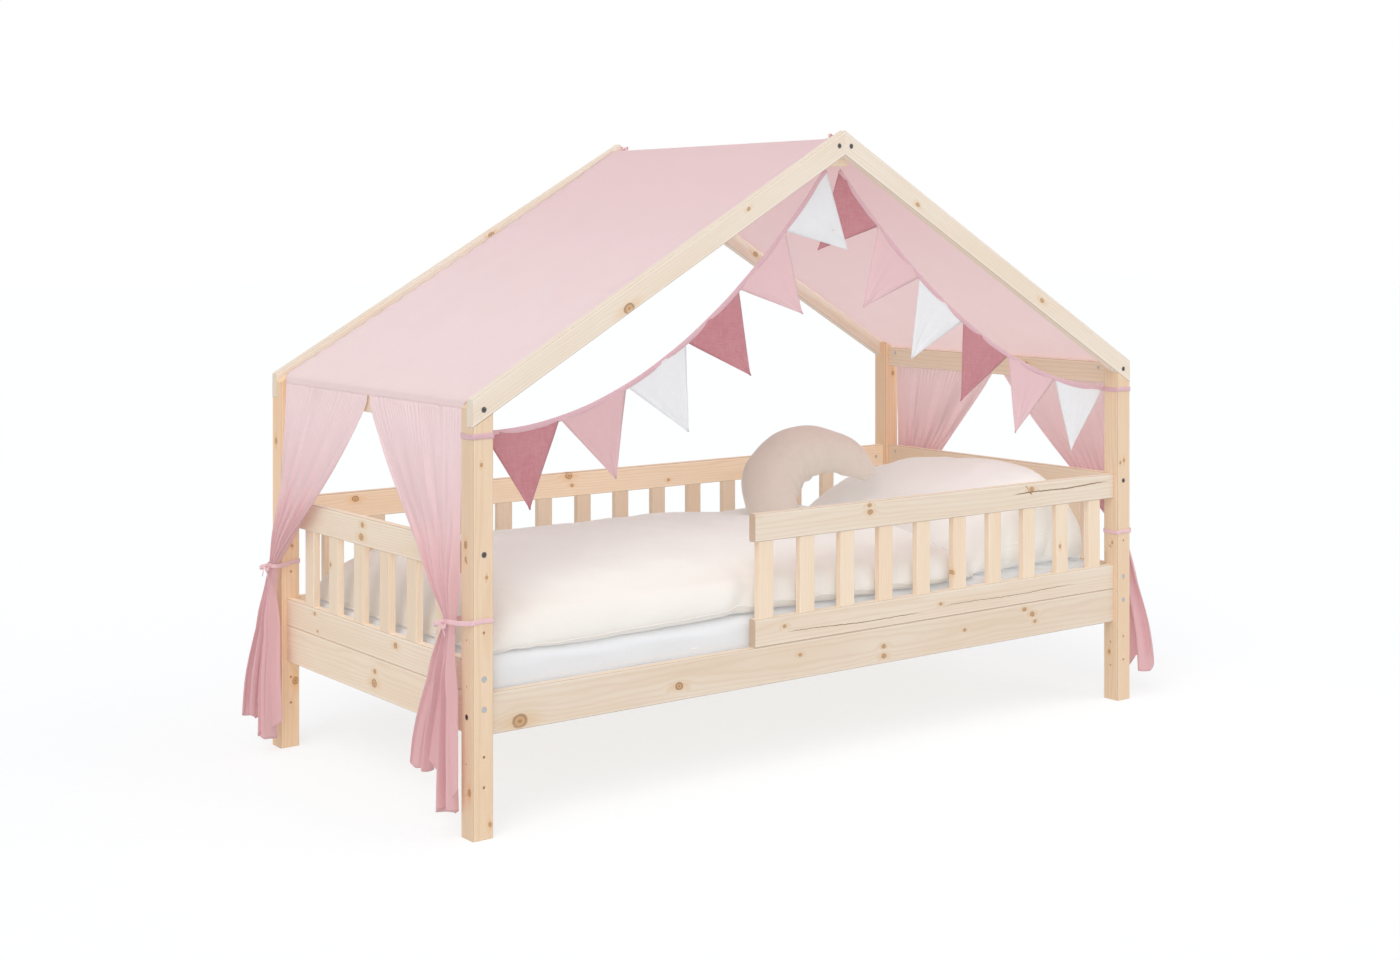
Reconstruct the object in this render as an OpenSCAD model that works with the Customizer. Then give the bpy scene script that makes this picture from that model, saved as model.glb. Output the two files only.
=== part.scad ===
// House-shaped child's bed: posts, rails, slatted guards and a gabled roof frame in
// softwood, with a fabric roof, tied-back curtains, bunting and bedding.
// Origin at the centre of the footprint on the floor. +X towards the head end (pillow),
// +Y towards the back, +Z up. The entry is in the front side, at the foot end.
// Corner coordinates start at one outer corner of the bed: x inward along the length,
// y inward along the width.

/* [Frame] */
// Length over the posts
bed_l = 2080; // [2070:10:2200]
// Width over the posts
bed_w = 980; // [970:10:1200]
// Side of the square posts
post = 50; // [48:1:56]
// Thickness of rails, guard rails and eave beams
rail_t = 22; // [20:1:24]
// Set-back of the boards from the outer face of the posts
rail_inset = 16; // [12:1:18]
// Radius of the softened long edges
edge_r = 3; // [1:0.5:4]

/* [Rails] */
// Height of the underside of the bed rails above the floor
rail_z = 214; // [180:2:260]
// Height of the bed rails
rail_h = 90; // [80:2:110]
// Height of the rails of the guards
guard_rail_h = 66; // [60:2:72]
// Clear height between the two rails of a guard
guard_gap_h = 182; // [160:2:220]
// Width of the entry, from the outer face of the post to the front guard
entry_x = 772; // [700:2:800]
// How far the rails come down when they are bolted to the spare lower holes
height_step = 164; // [150:2:170]

/* [Guard slats] */
// Width of one upright slat
slat_w = 45; // [40:1:50]
// Thickness of one upright slat
slat_t = 18; // [15:1:18]
// Distance from one upright slat to the next
slat_pitch = 127.6; // [115:0.2:130]
// Upright slats in the back guard
slats_back = 15; // [12:1:15]
// Upright slats in the front guard
slats_front = 10; // [6:1:10]
// Upright slats in each end guard
slats_end = 6; // [4:1:6]

/* [Roof] */
// Height of the rafters' upper edge at the outer face of the posts
eave_h = 928; // [900:2:1000]
// Height of the rafters' upper edge at the ridge
ridge_h = 1526; // [1450:2:1600]
// Thickness of the rafters, half lapped into the posts
rafter_t = 25; // [22:1:25]
// Plumb depth of the rafters
rafter_plumb = 60; // [54:1:62]
// Width of the ridge beam
ridge_w = 56; // [54:1:64]
// Height of the ridge beam
ridge_beam_h = 64; // [58:1:70]
// Height of the eave beams
eave_beam_h = 57; // [50:1:60]

/* [Bed base] */
// Slats of the bed base
base_slats = 14; // [10:1:16]
// Width of one slat of the bed base
base_slat_w = 70; // [60:1:80]
// Thickness of one slat of the bed base
base_slat_t = 15; // [12:1:18]
// Side of the square support battens
batten = 25; // [22:1:30]

/* [Bedding] */
// Length of the mattress
mattress_l = 2000; // [1980:5:2000]
// Width of the mattress
mattress_w = 900; // [880:5:900]
// Thickness of the mattress
mattress_t = 120; // [100:2:130]
// Centre-line radius of the crescent cushion
crescent_ring_r = 148; // [140:1:156]
// Radius of the crescent cushion at its thickest
crescent_r = 85; // [76:1:88]
// Radius of the crescent cushion at its tips
crescent_tip_r = 38; // [32:1:40]

/* [Fabric] */
// Height of the tie-backs above the floor
tie_h = 460; // [440:2:480]
// Lowest point of the curtain tails above the floor
curtain_low = 42; // [30:2:80]
// Sag of the bunting's left half below its chord
bunting_sag_left = 148; // [110:2:160]
// Sag of the bunting's right half below its chord
bunting_sag_right = 124; // [110:2:160]
// Length of a pennant from the tape's upper edge to its tip
pennant_h = 190; // [170:2:200]
// Width of the bunting tape and of the ribbons
tape_w = 13; // [10:1:14]

/* [Hidden] */

// Heights of the boards
guard_z = rail_z + rail_h;
guard_slat_z = guard_z + guard_rail_h;
guard_top_z = guard_slat_z + guard_gap_h;
rail_centre = rail_inset + rail_t / 2;

// Roof lines
roof_tan = (ridge_h - eave_h) / (bed_l / 2);
roof_angle = atan(roof_tan);
rafter_depth = rafter_plumb * cos(roof_angle);
post_head_drop = 20;
sheet_t = 2.5;
sheet_sag = 1.5;
sheet_edge_x = 14;
sheet_edge_z = eave_h - 5;
ridge_top = ridge_h - ridge_w / 2 * roof_tan - 6;
ridge_bottom = ridge_top - ridge_beam_h;
eave_beam_z = sheet_edge_z - 2 - eave_beam_h;
sheet_y = 30;
seam_z = eave_h - 25;

// Fasteners: M6 furniture bolts that screw into barrel nuts
bolt_d = 6;
bolt_hole_d = 7;
head_d = 12;
head_h = 4;
recess_d = 13;
socket_d = 4.6;
socket_h = 2.5;
bolt_reach = 40;
nut_d = 10;
nut_from_end = 30;
nut_l = 16;
nut_fit = 0.1;
side_bolt_z = [rail_z + 43, guard_z + 17, guard_top_z + 31];
end_bolt_z = [rail_z + 60, guard_z + 34, guard_top_z + 48];
eave_bolt_z = eave_h + rail_centre * roof_tan - 38;
ridge_bolt_x = 19;
ridge_bolt_z = ridge_top - 16;
dowel_d = 8;
dowel_l = 40;
dowel_count = 4;
mortise_depth = 10;
mortise_fit = 0.2;
screw_d = 4;
screw_l = 38;
screw_head_d = 8;
screw_count = 6;

// Bed base and bedding heights
batten_z = rail_z + 1;
base_z = batten_z + batten;
mattress_z = base_z + base_slat_t + 0.5;
bedding_z = mattress_z + mattress_t + 0.5;
mattress_corner_r = 60;
strap_w = 30;
strap_t = 1.5;
duvet_start = 60;
duvet_end = 1558;
duvet_y = 60;
pillow_start = 1572;
pillow_end = 1996;
pillow_mid_y = -20;
pillow_half_w = 408;
crescent_x = 1438;
crescent_y = 543;
crescent_z = 550;
crescent_lean = 39;
crescent_turn = 30;
arm_nest_z = 425;
tip_nest_z = 548;

// Fabric routes
curtain_t = 18;
waist_r = 17;
waist_x = -19;
waist_y = 57;
tape_t = 1.6;
knot_r = 4.5;
bunting_y = 45;
bunting_lap = 4;
bunting_low = 856;
bunting_high = ridge_bottom - 5;
pennants = 6;
pennant_t = 1.4;

// ---------------------------------------------------------------- shared shapes

// Puts children drawn in corner coordinates at one of the four corners
module corner(right, back) {
    mirror([right, 0, 0]) mirror([0, back, 0])
        translate([-bed_l / 2, -bed_w / 2, 0]) children();
}

module rounded_rect(w, h, r) {
    translate([r, 0]) square([w - 2 * r, h]);
    translate([0, r]) square([w, h - 2 * r]);
    for (x = [r, w - r], y = [r, h - r])
        translate([x, y]) circle(r, $fn = 24);
}

// Boards with softened long edges, given by their lowest corner and their size
module board_x(at, size, r = edge_r) {
    translate(at) rotate([90, 0, 90]) linear_extrude(size[0]) rounded_rect(size[1], size[2], r);
}

module board_y(at, size, r = edge_r) {
    translate([at[0], at[1] + size[1], at[2]]) rotate([90, 0, 0])
        linear_extrude(size[1]) rounded_rect(size[0], size[2], r);
}

module board_z(at, size, r = edge_r) {
    translate(at) linear_extrude(size[2]) rounded_rect(size[0], size[1], r);
}

// Round bars along X and Y
module bar_x(at, d, l) {
    translate(at) rotate([0, 90, 0]) cylinder(h = l, d = d, $fn = 32);
}

module bar_y(at, d, l) {
    translate(at) rotate([-90, 0, 0]) cylinder(h = l, d = d, $fn = 32);
}

// Closed skin over a list of equal rings of points
module skin(rings) {
    n = len(rings[0]);
    last = len(rings) - 1;
    sides = [for (i = [0 : last - 1], j = [0 : n - 1])
        [i * n + j, i * n + (j + 1) % n, (i + 1) * n + (j + 1) % n, (i + 1) * n + j]];
    caps = [[for (j = [n - 1 : -1 : 0]) j], [for (j = [0 : n - 1]) last * n + j]];
    polyhedron(points = [for (ring = rings) each ring], faces = concat(sides, caps));
}

// Signed power, for rounded-square sections
function soft(v, p) = sign(v) * pow(abs(v), p);

// Ring of a cushion section across Y at station x, from the bed of the cushion up. It is widest
// at the share belly of its height, a small corner makes it square, and tilt raises its front.
function section_ring(x, y_mid, half_w, z_low, height, corner, belly = 0.5, tilt = 0, n = 24) =
    [for (j = [0 : n - 1]) let (a = 360 * j / n, across = soft(cos(a), corner), up = soft(sin(a), 0.8))
        [x, y_mid + half_w * across,
            z_low + height * (belly + (up > 0 ? 1 - belly : belly) * up) * (1 - tilt * across)]];

// ---------------------------------------------------------------- posts

// Waste above the line that runs parallel to the roof, drop below it
module above_roof_line(drop, y0, y1) {
    reach = post + 1;
    translate([0, y1, 0]) rotate([90, 0, 0]) linear_extrude(y1 - y0)
        polygon([[-1, eave_h - roof_tan - drop], [reach, eave_h + reach * roof_tan - drop],
            [reach, ridge_h], [-1, ridge_h]]);
}

// One post in corner coordinates: half lap for the rafter, and bolt holes both ways at
// the upper and the lower rail height. used_side lists the side bolts that it carries.
module bed_post(used_side) {
    color("BurlyWood") difference() {
        board_z([0, 0, 0], [post, post, eave_h + 60]);
        above_roof_line(rafter_plumb, -1, rafter_t);
        above_roof_line(post_head_drop, rafter_t, post + 1);
        for (z = side_bolt_z, low = [0, height_step])
            bar_x([-1, rail_centre, z - low], bolt_hole_d, post + 2);
        for (z = end_bolt_z, low = [0, height_step])
            bar_y([rail_centre, -1, z - low], bolt_hole_d, post + 2);
        for (i = used_side)
            bar_x([-1, rail_centre, side_bolt_z[i]], recess_d, head_h + 1);
        for (z = end_bolt_z)
            bar_y([rail_centre, -1, z], recess_d, head_h + 1);
        bar_y([rail_centre, -1, eave_bolt_z], bolt_hole_d, post + 2);
    }
}

module post_front_left() { corner(0, 0) bed_post([0]); }
module post_front_right() { corner(1, 0) bed_post([0, 1, 2]); }
module post_back_left() { corner(0, 1) bed_post([0, 1, 2]); }
module post_back_right() { corner(1, 1) bed_post([0, 1, 2]); }

// ---------------------------------------------------------------- rails

// Bolt bore and barrel-nut bore in the left end of a board along X, in corner coordinates
module side_end_bores(x, z) {
    bar_x([x - 1, rail_centre, z], bolt_hole_d, bolt_reach + 3);
    bar_y([x + nut_from_end, rail_inset + rail_t - nut_l - 1, z], nut_d + nut_fit, nut_l + 2);
}

// The same for a board along Y
module end_end_bores(y, z) {
    bar_y([rail_centre, y - 1, z], bolt_hole_d, bolt_reach + 3);
    bar_x([rail_inset + rail_t - nut_l - 1, y + nut_from_end, z], nut_d + nut_fit, nut_l + 2);
}

// Turns corner coordinates round to the other end of the bed, or to its other side
module other_end() { translate([bed_l, 0, 0]) mirror([1, 0, 0]) children(); }
module other_side() { translate([0, bed_w, 0]) mirror([0, 1, 0]) children(); }

// Mortises for the upright slats, centred on height z
module mortises_x(starts, z) {
    for (x = starts)
        translate([x - mortise_fit, rail_centre - slat_t / 2 - mortise_fit, z - mortise_depth])
            cube([slat_w + 2 * mortise_fit, slat_t + 2 * mortise_fit, 2 * mortise_depth]);
}

module mortises_y(starts, z) {
    for (y = starts)
        translate([rail_centre - slat_t / 2 - mortise_fit, y - mortise_fit, z - mortise_depth])
            cube([slat_t + 2 * mortise_fit, slat_w + 2 * mortise_fit, 2 * mortise_depth]);
}

// Board along the bed's length from x0 to the far post, bolted at its right end and,
// when it reaches the near post, at its left end too
module long_board(x0, z, h, bolt_z) {
    difference() {
        board_x([x0, rail_inset, z], [bed_l - post - x0, rail_t, h]);
        if (x0 == post) side_end_bores(post, bolt_z);
        other_end() side_end_bores(post, bolt_z);
    }
}

// Board across the bed between two posts
module cross_board(z, h, bolt_z) {
    difference() {
        board_y([rail_inset, post, z], [rail_t, bed_w - 2 * post, h]);
        end_end_bores(post, bolt_z);
        other_side() end_end_bores(post, bolt_z);
    }
}

function slat_row(middle, count) =
    [for (i = [0 : count - 1]) middle + (i - (count - 1) / 2) * slat_pitch - slat_w / 2];

back_starts = slat_row(bed_l / 2, slats_back);
front_starts = [for (i = [0 : slats_front - 1]) entry_x + 13 + i * slat_pitch];
end_starts = slat_row(bed_w / 2, slats_end);
dowel_starts = [for (i = [0 : dowel_count - 1])
    entry_x + 60 + i * (bed_l - post - entry_x - 160) / (dowel_count - 1)];
screw_starts = [for (i = [0 : screw_count - 1]) 120 + i * (bed_l - 240) / (screw_count - 1)];

module dowel_bores(z) {
    for (x = dowel_starts)
        translate([x, rail_centre, z - dowel_l / 2 - 1])
            cylinder(h = dowel_l + 2, d = dowel_d + nut_fit, $fn = 32);
}

// Blind holes for the batten screws in the inner face of a bed rail
module screw_bores(depth) {
    for (x = screw_starts)
        bar_y([x, rail_inset + rail_t - depth, batten_z + batten / 2],
            screw_d + nut_fit, depth + batten + 1);
}

module bed_rail() {
    difference() {
        long_board(post, rail_z, rail_h, side_bolt_z[0]);
        screw_bores(screw_l - batten + 1);
    }
}

module side_rail_front() {
    color("Wheat") corner(0, 0) difference() {
        bed_rail();
        dowel_bores(guard_z);
    }
}
module side_rail_back() { color("Wheat") corner(0, 1) bed_rail(); }
module end_rail_left() { color("Wheat") corner(0, 0) cross_board(rail_z, rail_h, end_bolt_z[0]); }
module end_rail_right() { color("Wheat") corner(1, 0) cross_board(rail_z, rail_h, end_bolt_z[0]); }

// ---------------------------------------------------------------- guards

module upright_x(starts) {
    for (x = starts)
        board_z([x, rail_centre - slat_t / 2, guard_slat_z - mortise_depth + mortise_fit],
            [slat_w, slat_t, guard_gap_h + 2 * (mortise_depth - mortise_fit)], 2);
}

module upright_y(starts) {
    for (y = starts)
        board_z([rail_centre - slat_t / 2, y, guard_slat_z - mortise_depth + mortise_fit],
            [slat_t, slat_w, guard_gap_h + 2 * (mortise_depth - mortise_fit)], 2);
}

module long_guard_rail(x0, level, starts) {
    z = level == 1 ? guard_z : guard_top_z;
    difference() {
        long_board(x0, z, guard_rail_h, side_bolt_z[level]);
        mortises_x(starts, level == 1 ? guard_slat_z : guard_top_z);
        children();
    }
}

module end_guard_rail(level) {
    z = level == 1 ? guard_z : guard_top_z;
    difference() {
        cross_board(z, guard_rail_h, end_bolt_z[level]);
        mortises_y(end_starts, level == 1 ? guard_slat_z : guard_top_z);
    }
}

module guard_front_bottom_rail() {
    color("Wheat") corner(0, 0) long_guard_rail(entry_x, 1, front_starts) dowel_bores(guard_z);
}
module guard_front_top_rail() {
    color("Wheat") corner(0, 0) long_guard_rail(entry_x, 2, front_starts);
}
module guard_front_slats() { color("Wheat") corner(0, 0) upright_x(front_starts); }
module guard_back_bottom_rail() {
    color("Wheat") corner(0, 1) long_guard_rail(post, 1, back_starts);
}
module guard_back_top_rail() {
    color("Wheat") corner(0, 1) long_guard_rail(post, 2, back_starts);
}
module guard_back_slats() { color("Wheat") corner(0, 1) upright_x(back_starts); }
module guard_left_bottom_rail() { color("Wheat") corner(0, 0) end_guard_rail(1); }
module guard_left_top_rail() { color("Wheat") corner(0, 0) end_guard_rail(2); }
module guard_left_slats() { color("Wheat") corner(0, 0) upright_y(end_starts); }
module guard_right_bottom_rail() { color("Wheat") corner(1, 0) end_guard_rail(1); }
module guard_right_top_rail() { color("Wheat") corner(1, 0) end_guard_rail(2); }
module guard_right_slats() { color("Wheat") corner(1, 0) upright_y(end_starts); }

// ---------------------------------------------------------------- roof frame

// Half of a gable: plumb cut at the eave and at the ridge
module rafter() {
    overrun = 80;
    color("Wheat") difference() {
        intersection() {
            translate([0, 0, eave_h]) rotate([0, -roof_angle, 0])
                board_x([-overrun, 0, -rafter_depth],
                    [bed_l / 2 / cos(roof_angle) + 2 * overrun, rafter_t, rafter_depth]);
            translate([0, -1, 0]) cube([bed_l / 2, rafter_t + 2, ridge_h + 1]);
        }
        roof_bolt_places() {
            bar_y([0, -1, 0], bolt_hole_d, rafter_t + 2);
            bar_y([0, -1, 0], recess_d, head_h + 1);
        }
    }
}

// Bolt places of one rafter in corner coordinates
module roof_bolt_places() {
    translate([rail_centre, 0, eave_bolt_z]) children();
    translate([bed_l / 2 - ridge_bolt_x, 0, ridge_bolt_z]) children();
}

module rafter_front_left() { corner(0, 0) rafter(); }
module rafter_front_right() { corner(1, 0) rafter(); }
module rafter_back_left() { corner(0, 1) rafter(); }
module rafter_back_right() { corner(1, 1) rafter(); }

module ridge_beam() {
    color("Wheat") difference() {
        board_y([-ridge_w / 2, -bed_w / 2 + rafter_t, ridge_bottom],
            [ridge_w, bed_w - 2 * rafter_t, ridge_beam_h]);
        for (right = [0, 1], back = [0, 1]) corner(right, back)
            translate([bed_l / 2 - ridge_bolt_x, 0, 0]) {
                bar_y([0, rafter_t - 1, ridge_bolt_z], bolt_hole_d, bolt_reach + 3);
                translate([0, rafter_t + nut_from_end, ridge_bottom - 1])
                    cylinder(h = ridge_beam_h - 7, d = nut_d + nut_fit, $fn = 32);
            }
    }
}

module eave_beam() {
    color("Wheat") difference() {
        board_y([rail_inset, post, eave_beam_z], [rail_t, bed_w - 2 * post, eave_beam_h]);
        end_end_bores(post, eave_bolt_z);
        other_side() end_end_bores(post, eave_bolt_z);
    }
}
module eave_beam_left() { corner(0, 0) eave_beam(); }
module eave_beam_right() { corner(1, 0) eave_beam(); }

// ---------------------------------------------------------------- bed base

module support_batten() {
    color("BurlyWood") difference() {
        board_x([post + 10, rail_inset + rail_t, batten_z],
            [bed_l - 2 * post - 20, batten, batten], 2);
        screw_bores(1);
    }
}
module batten_front() { corner(0, 0) support_batten(); }
module batten_back() { corner(0, 1) support_batten(); }

// Pan-head screws through the battens into the bed rails
module batten_screws() {
    inner = rail_inset + rail_t + batten;
    color("Silver") for (back = [0, 1]) corner(0, back) for (x = screw_starts)
        translate([x, 0, batten_z + batten / 2]) {
            bar_y([0, inner - screw_l, 0], screw_d, screw_l);
            bar_y([0, inner, 0], screw_head_d, 2);
        }
}

base_starts = [for (i = [0 : base_slats - 1])
    80 + i * (bed_l - 160 - base_slat_w) / (base_slats - 1)];

module base_slats_set() {
    gap = rail_inset + rail_t + 3;
    color("Moccasin") corner(0, 0) for (x = base_starts)
        board_y([x, gap, base_z], [base_slat_w, bed_w - 2 * gap, base_slat_t], 2);
}

// Two webbing straps under the slats, which let the base roll up
module base_straps() {
    color("Gainsboro") for (back = [0, 1]) corner(0, back)
        translate([80, 150, base_z - strap_t]) cube([bed_l - 160, strap_w, strap_t]);
}

// ---------------------------------------------------------------- fasteners

// Bolt along Y with its head in the recess at y = 0, as long as reach
module furniture_bolt(reach) {
    difference() {
        union() {
            bar_y([0, 0.5, 0], head_d, head_h - 0.5);
            bar_y([0, head_h - 0.1, 0], bolt_d, reach - head_h);
        }
        translate([0, 0, 0]) rotate([-90, 0, 0]) cylinder(h = socket_h, d = socket_d, $fn = 6);
    }
}

// The same bolt along X, for the side boards
module side_bolt() {
    mirror([1, -1, 0]) furniture_bolt(post + bolt_reach);
}

// Corner and height of every side bolt: [right, back, list of levels]
side_bolt_corners = [[0, 0, [0]], [1, 0, [0, 1, 2]], [0, 1, [0, 1, 2]], [1, 1, [0, 1, 2]]];

module side_bolts() {
    color("DimGray") for (c = side_bolt_corners) corner(c[0], c[1]) for (i = c[2])
        translate([0, rail_centre, side_bolt_z[i]]) side_bolt();
}

module end_bolts() {
    color("DimGray") for (right = [0, 1], back = [0, 1]) corner(right, back)
        for (z = end_bolt_z) translate([rail_centre, 0, z]) furniture_bolt(post + bolt_reach);
}

module roof_bolts() {
    color("DimGray") for (right = [0, 1], back = [0, 1]) corner(right, back) {
        translate([rail_centre, 0, eave_bolt_z]) furniture_bolt(post + bolt_reach);
        translate([bed_l / 2 - ridge_bolt_x, 0, ridge_bolt_z])
            furniture_bolt(rafter_t + bolt_reach);
    }
}

// Barrel nut along Y, from the inner face of a board inward, cross-drilled along X
module barrel_nut_y() {
    difference() {
        bar_y([0, -nut_l, 0], nut_d, nut_l);
        bar_x([-nut_d, -rail_t / 2, 0], bolt_d + nut_fit, 2 * nut_d);
    }
}

module barrel_nut_x() { mirror([1, -1, 0]) barrel_nut_y(); }

module barrel_nuts() {
    inner = rail_inset + rail_t;
    color("Silver") {
        for (c = side_bolt_corners) corner(c[0], c[1]) for (i = c[2])
            translate([post + nut_from_end, inner, side_bolt_z[i]]) barrel_nut_y();
        for (right = [0, 1], back = [0, 1]) corner(right, back) {
            for (z = concat(end_bolt_z, [eave_bolt_z]))
                translate([inner, post + nut_from_end, z]) barrel_nut_x();
            translate([bed_l / 2 - ridge_bolt_x, rafter_t + nut_from_end, ridge_bolt_z])
                difference() {
                    translate([0, 0, -nut_l / 2]) cylinder(h = nut_l, d = nut_d, $fn = 32);
                    bar_y([0, -nut_d, 0], bolt_d + nut_fit, 2 * nut_d);
                }
        }
    }
}

// Hidden dowels that carry the front guard on the bed rail
module guard_dowels() {
    color("BurlyWood") corner(0, 0) for (x = dowel_starts)
        translate([x, rail_centre, guard_z - dowel_l / 2])
            cylinder(h = dowel_l, d = dowel_d, $fn = 32);
}

// ---------------------------------------------------------------- bedding

module mattress() {
    color("WhiteSmoke") translate([-mattress_l / 2, -mattress_w / 2, mattress_z])
        linear_extrude(mattress_t) rounded_rect(mattress_l, mattress_w, mattress_corner_r);
}

// Height of the duvet's crown along its length, from 0 at the foot to 1 at the pillow
duvet_crown = [[0, 180], [0.15, 172], [0.3, 167], [0.5, 167], [0.65, 158], [0.8, 150], [0.93, 176], [1, 180]];

// Roundness of the two ends of a cushion, 0 at the ends and 1 in between
function end_round(u, blunt) = pow(1 - pow(abs(2 * u - 1), blunt), 0.5);

module duvet() {
    stations = 26;
    half_w = bed_w / 2 - duvet_y;
    rings = [for (i = [0 : stations]) let (u = i / stations, e = 0.12 + 0.88 * end_round(u, 11))
        section_ring(-bed_l / 2 + duvet_start + u * (duvet_end - duvet_start), 0,
            half_w * (0.9 + 0.1 * e), bedding_z, lookup(u, duvet_crown) * e, 0.85, 0.3)];
    color("Linen") difference() {
        skin(rings);
        crescent_nest();
    }
}

// Hollows that the crescent cushion's low arm and its far tip have pressed into the duvet
module crescent_nest() {
    corner(0, 0) {
        translate([crescent_x - 222, crescent_y - 48, arm_nest_z])
            linear_extrude(300) rounded_rect(216, 254, 60);
        translate([crescent_x - 60, crescent_y - 62, tip_nest_z])
            linear_extrude(300) rounded_rect(260, 268, 60);
    }
}

module pillow() {
    stations = 18;
    rings = [for (i = [0 : stations]) let (u = i / stations, e = 0.1 + 0.9 * end_round(u, 2.6))
        section_ring(-bed_l / 2 + pillow_start + u * (pillow_end - pillow_start), pillow_mid_y,
            pillow_half_w * (0.88 + 0.12 * e), bedding_z, (182 + 126 * u) * e, 0.65, 0.4, 0.12)];
    color("White") skin(rings);
}

// Crescent cushion: a tapered tube bent round an open ring that leans back
module crescent_cushion() {
    stations = 28;
    sides = 16;
    first = 21;
    span = 215;
    rings = [for (i = [0 : stations]) let (
            u = i / stations,
            a = first + span * u,
            e = pow(1 - pow(abs(2 * u - 1), 9), 0.5),
            r = (crescent_tip_r + (crescent_r - crescent_tip_r) * pow(sin(180 * pow(u, 1.3)), 0.85))
                * (0.2 + 0.8 * e))
        [for (j = [0 : sides - 1]) let (b = -360 * j / sides, rho = crescent_ring_r + r * cos(b))
            [rho * cos(a), r * sin(b), rho * sin(a)]]];
    color("RosyBrown") corner(0, 0) translate([crescent_x, crescent_y, crescent_z])
        rotate([-crescent_lean, 0, -crescent_turn]) skin(rings);
}

// ---------------------------------------------------------------- canopy and curtains

// Upper surface of the roof sheet, from the eave edge to the edge of the ridge beam
sheet_run = bed_l / 2 - ridge_w / 2 - sheet_edge_x;
sheet_rise = ridge_top + sheet_t + 0.3 - sheet_edge_z;
sheet_steps = 14;
sheet_half = [for (i = [0 : sheet_steps]) let (u = i / sheet_steps)
    [-bed_l / 2 + sheet_edge_x + sheet_run * u,
        sheet_edge_z + sheet_rise * u - 4 * sheet_sag * u * (1 - u)]];
sheet_line = concat(sheet_half, [for (i = [sheet_steps : -1 : 0])
    [-sheet_half[i][0], sheet_half[i][1]]]);

module canopy() {
    drop_y = post + 6;
    color("MistyRose") {
        translate([0, bed_w / 2 - sheet_y, 0]) rotate([90, 0, 0])
            linear_extrude(bed_w - 2 * sheet_y)
            polygon(concat(sheet_line,
                [for (i = [len(sheet_line) - 1 : -1 : 0]) sheet_line[i] - [0, sheet_t]]));
        for (right = [0, 1]) corner(right, 0)
            translate([sheet_edge_x - sheet_t - 1, drop_y, seam_z])
                cube([sheet_t + 1.2, bed_w - 2 * drop_y, sheet_edge_z - seam_z]);
    }
}

// Curtain in corner coordinates: a strip at the eave, gathered in to a waist beside the
// post, and a tail that opens out again between two points near the floor
module curtain(tail_a, tail_b, tail_r) {
    start = post + 10;
    grip = 16;
    color("Pink") {
        hull() {
            translate([-curtain_t / 2, start, seam_z - 8])
                cube([curtain_t, bed_w / 2 - start - 3, 7]);
            waist_disc(tie_h + grip / 2, 1);
        }
        waist_disc(tie_h - grip / 2, grip);
        hull() {
            waist_disc(tie_h - grip / 2 - 1, 1);
            for (p = [tail_a, tail_b])
                translate([p[0], p[1], p[2]]) cylinder(h = 60, r = tail_r, $fn = 24);
        }
    }
}

module waist_disc(z, h) {
    translate([waist_x, waist_y, z]) cylinder(h = h, r = waist_r, $fn = 24);
}

module curtain_front_left() {
    corner(0, 0) curtain([-24, 64, curtain_low], [-24, 188, curtain_low + 66], 20);
}
module curtain_back_left() {
    corner(0, 1) curtain([-46, -4, curtain_low + 28], [-37, 76, curtain_low], 24);
}
module curtain_front_right() {
    corner(1, 0) curtain([-46, -4, curtain_low + 28], [-37, 76, curtain_low], 24);
}
module curtain_back_right() {
    corner(1, 1) curtain([-24, 64, curtain_low], [-24, 188, curtain_low + 66], 20);
}

// Ribbon loop of a bow, seen on edge: a narrow eye that starts at the knot
module bow_loop(l, w) {
    difference() {
        eye(l, w);
        translate([tape_t, 0]) eye(l - 2 * tape_t, w - tape_t);
    }
}

// Pointed oval between the knot and x = l
module eye(l, w) {
    n = 10;
    upper = [for (i = [0 : n]) [l * i / n, w * sin(180 * pow(i / n, 1.3))]];
    lower = [for (i = [n - 1 : -1 : 1]) [l * i / n, -w * sin(180 * pow(i / n, 1.3))]];
    polygon(concat(upper, lower));
}

// Bow of two loops and two ends around a round knot; its ribbon stands along Z
module bow(loop_l, loop_w, end_l) {
    ribbon_w = tape_w * 0.66;
    translate([0, 0, -ribbon_w / 2]) linear_extrude(ribbon_w) {
        for (a = [155, 205]) rotate(a) bow_loop(loop_l, loop_w);
        for (a = [105, 250]) rotate(a) translate([2, 0]) square([end_l, tape_t]);
        circle(knot_r, $fn = 24);
    }
}

// Ribbon round the post and the curtain's waist, tied in a bow outside the waist
module tie_back() {
    slack = 0.5;
    color("LightPink") {
        translate([0, 0, tie_h - tape_w / 2]) linear_extrude(tape_w) difference() {
            tie_outline(slack + tape_t);
            tie_outline(slack);
        }
        translate([waist_x - waist_r - slack - tape_t - knot_r, waist_y, tie_h]) bow(24, 6, 30);
    }
}

module tie_outline(grow) {
    hull() {
        translate([-grow, -grow]) square(post + 2 * grow);
        translate([waist_x, waist_y]) circle(waist_r + grow, $fn = 32);
    }
}

module tie_front_left() { corner(0, 0) tie_back(); }
module tie_front_right() { corner(1, 0) tie_back(); }
module tie_back_left() { corner(0, 1) tie_back(); }
module tie_back_right() { corner(1, 1) tie_back(); }

// Ribbons sewn to the roof sheet and tied over the ridge at the front and the back
module ridge_ties() {
    knot_z = ridge_top + sheet_t + 0.6 + knot_r;
    color("LightPink") for (back = [0, 1]) corner(0, back)
        translate([bed_l / 2, sheet_y + 14, knot_z]) rotate([0, 90, 90]) bow(18, 5, 22);
}

// ---------------------------------------------------------------- bunting

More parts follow.
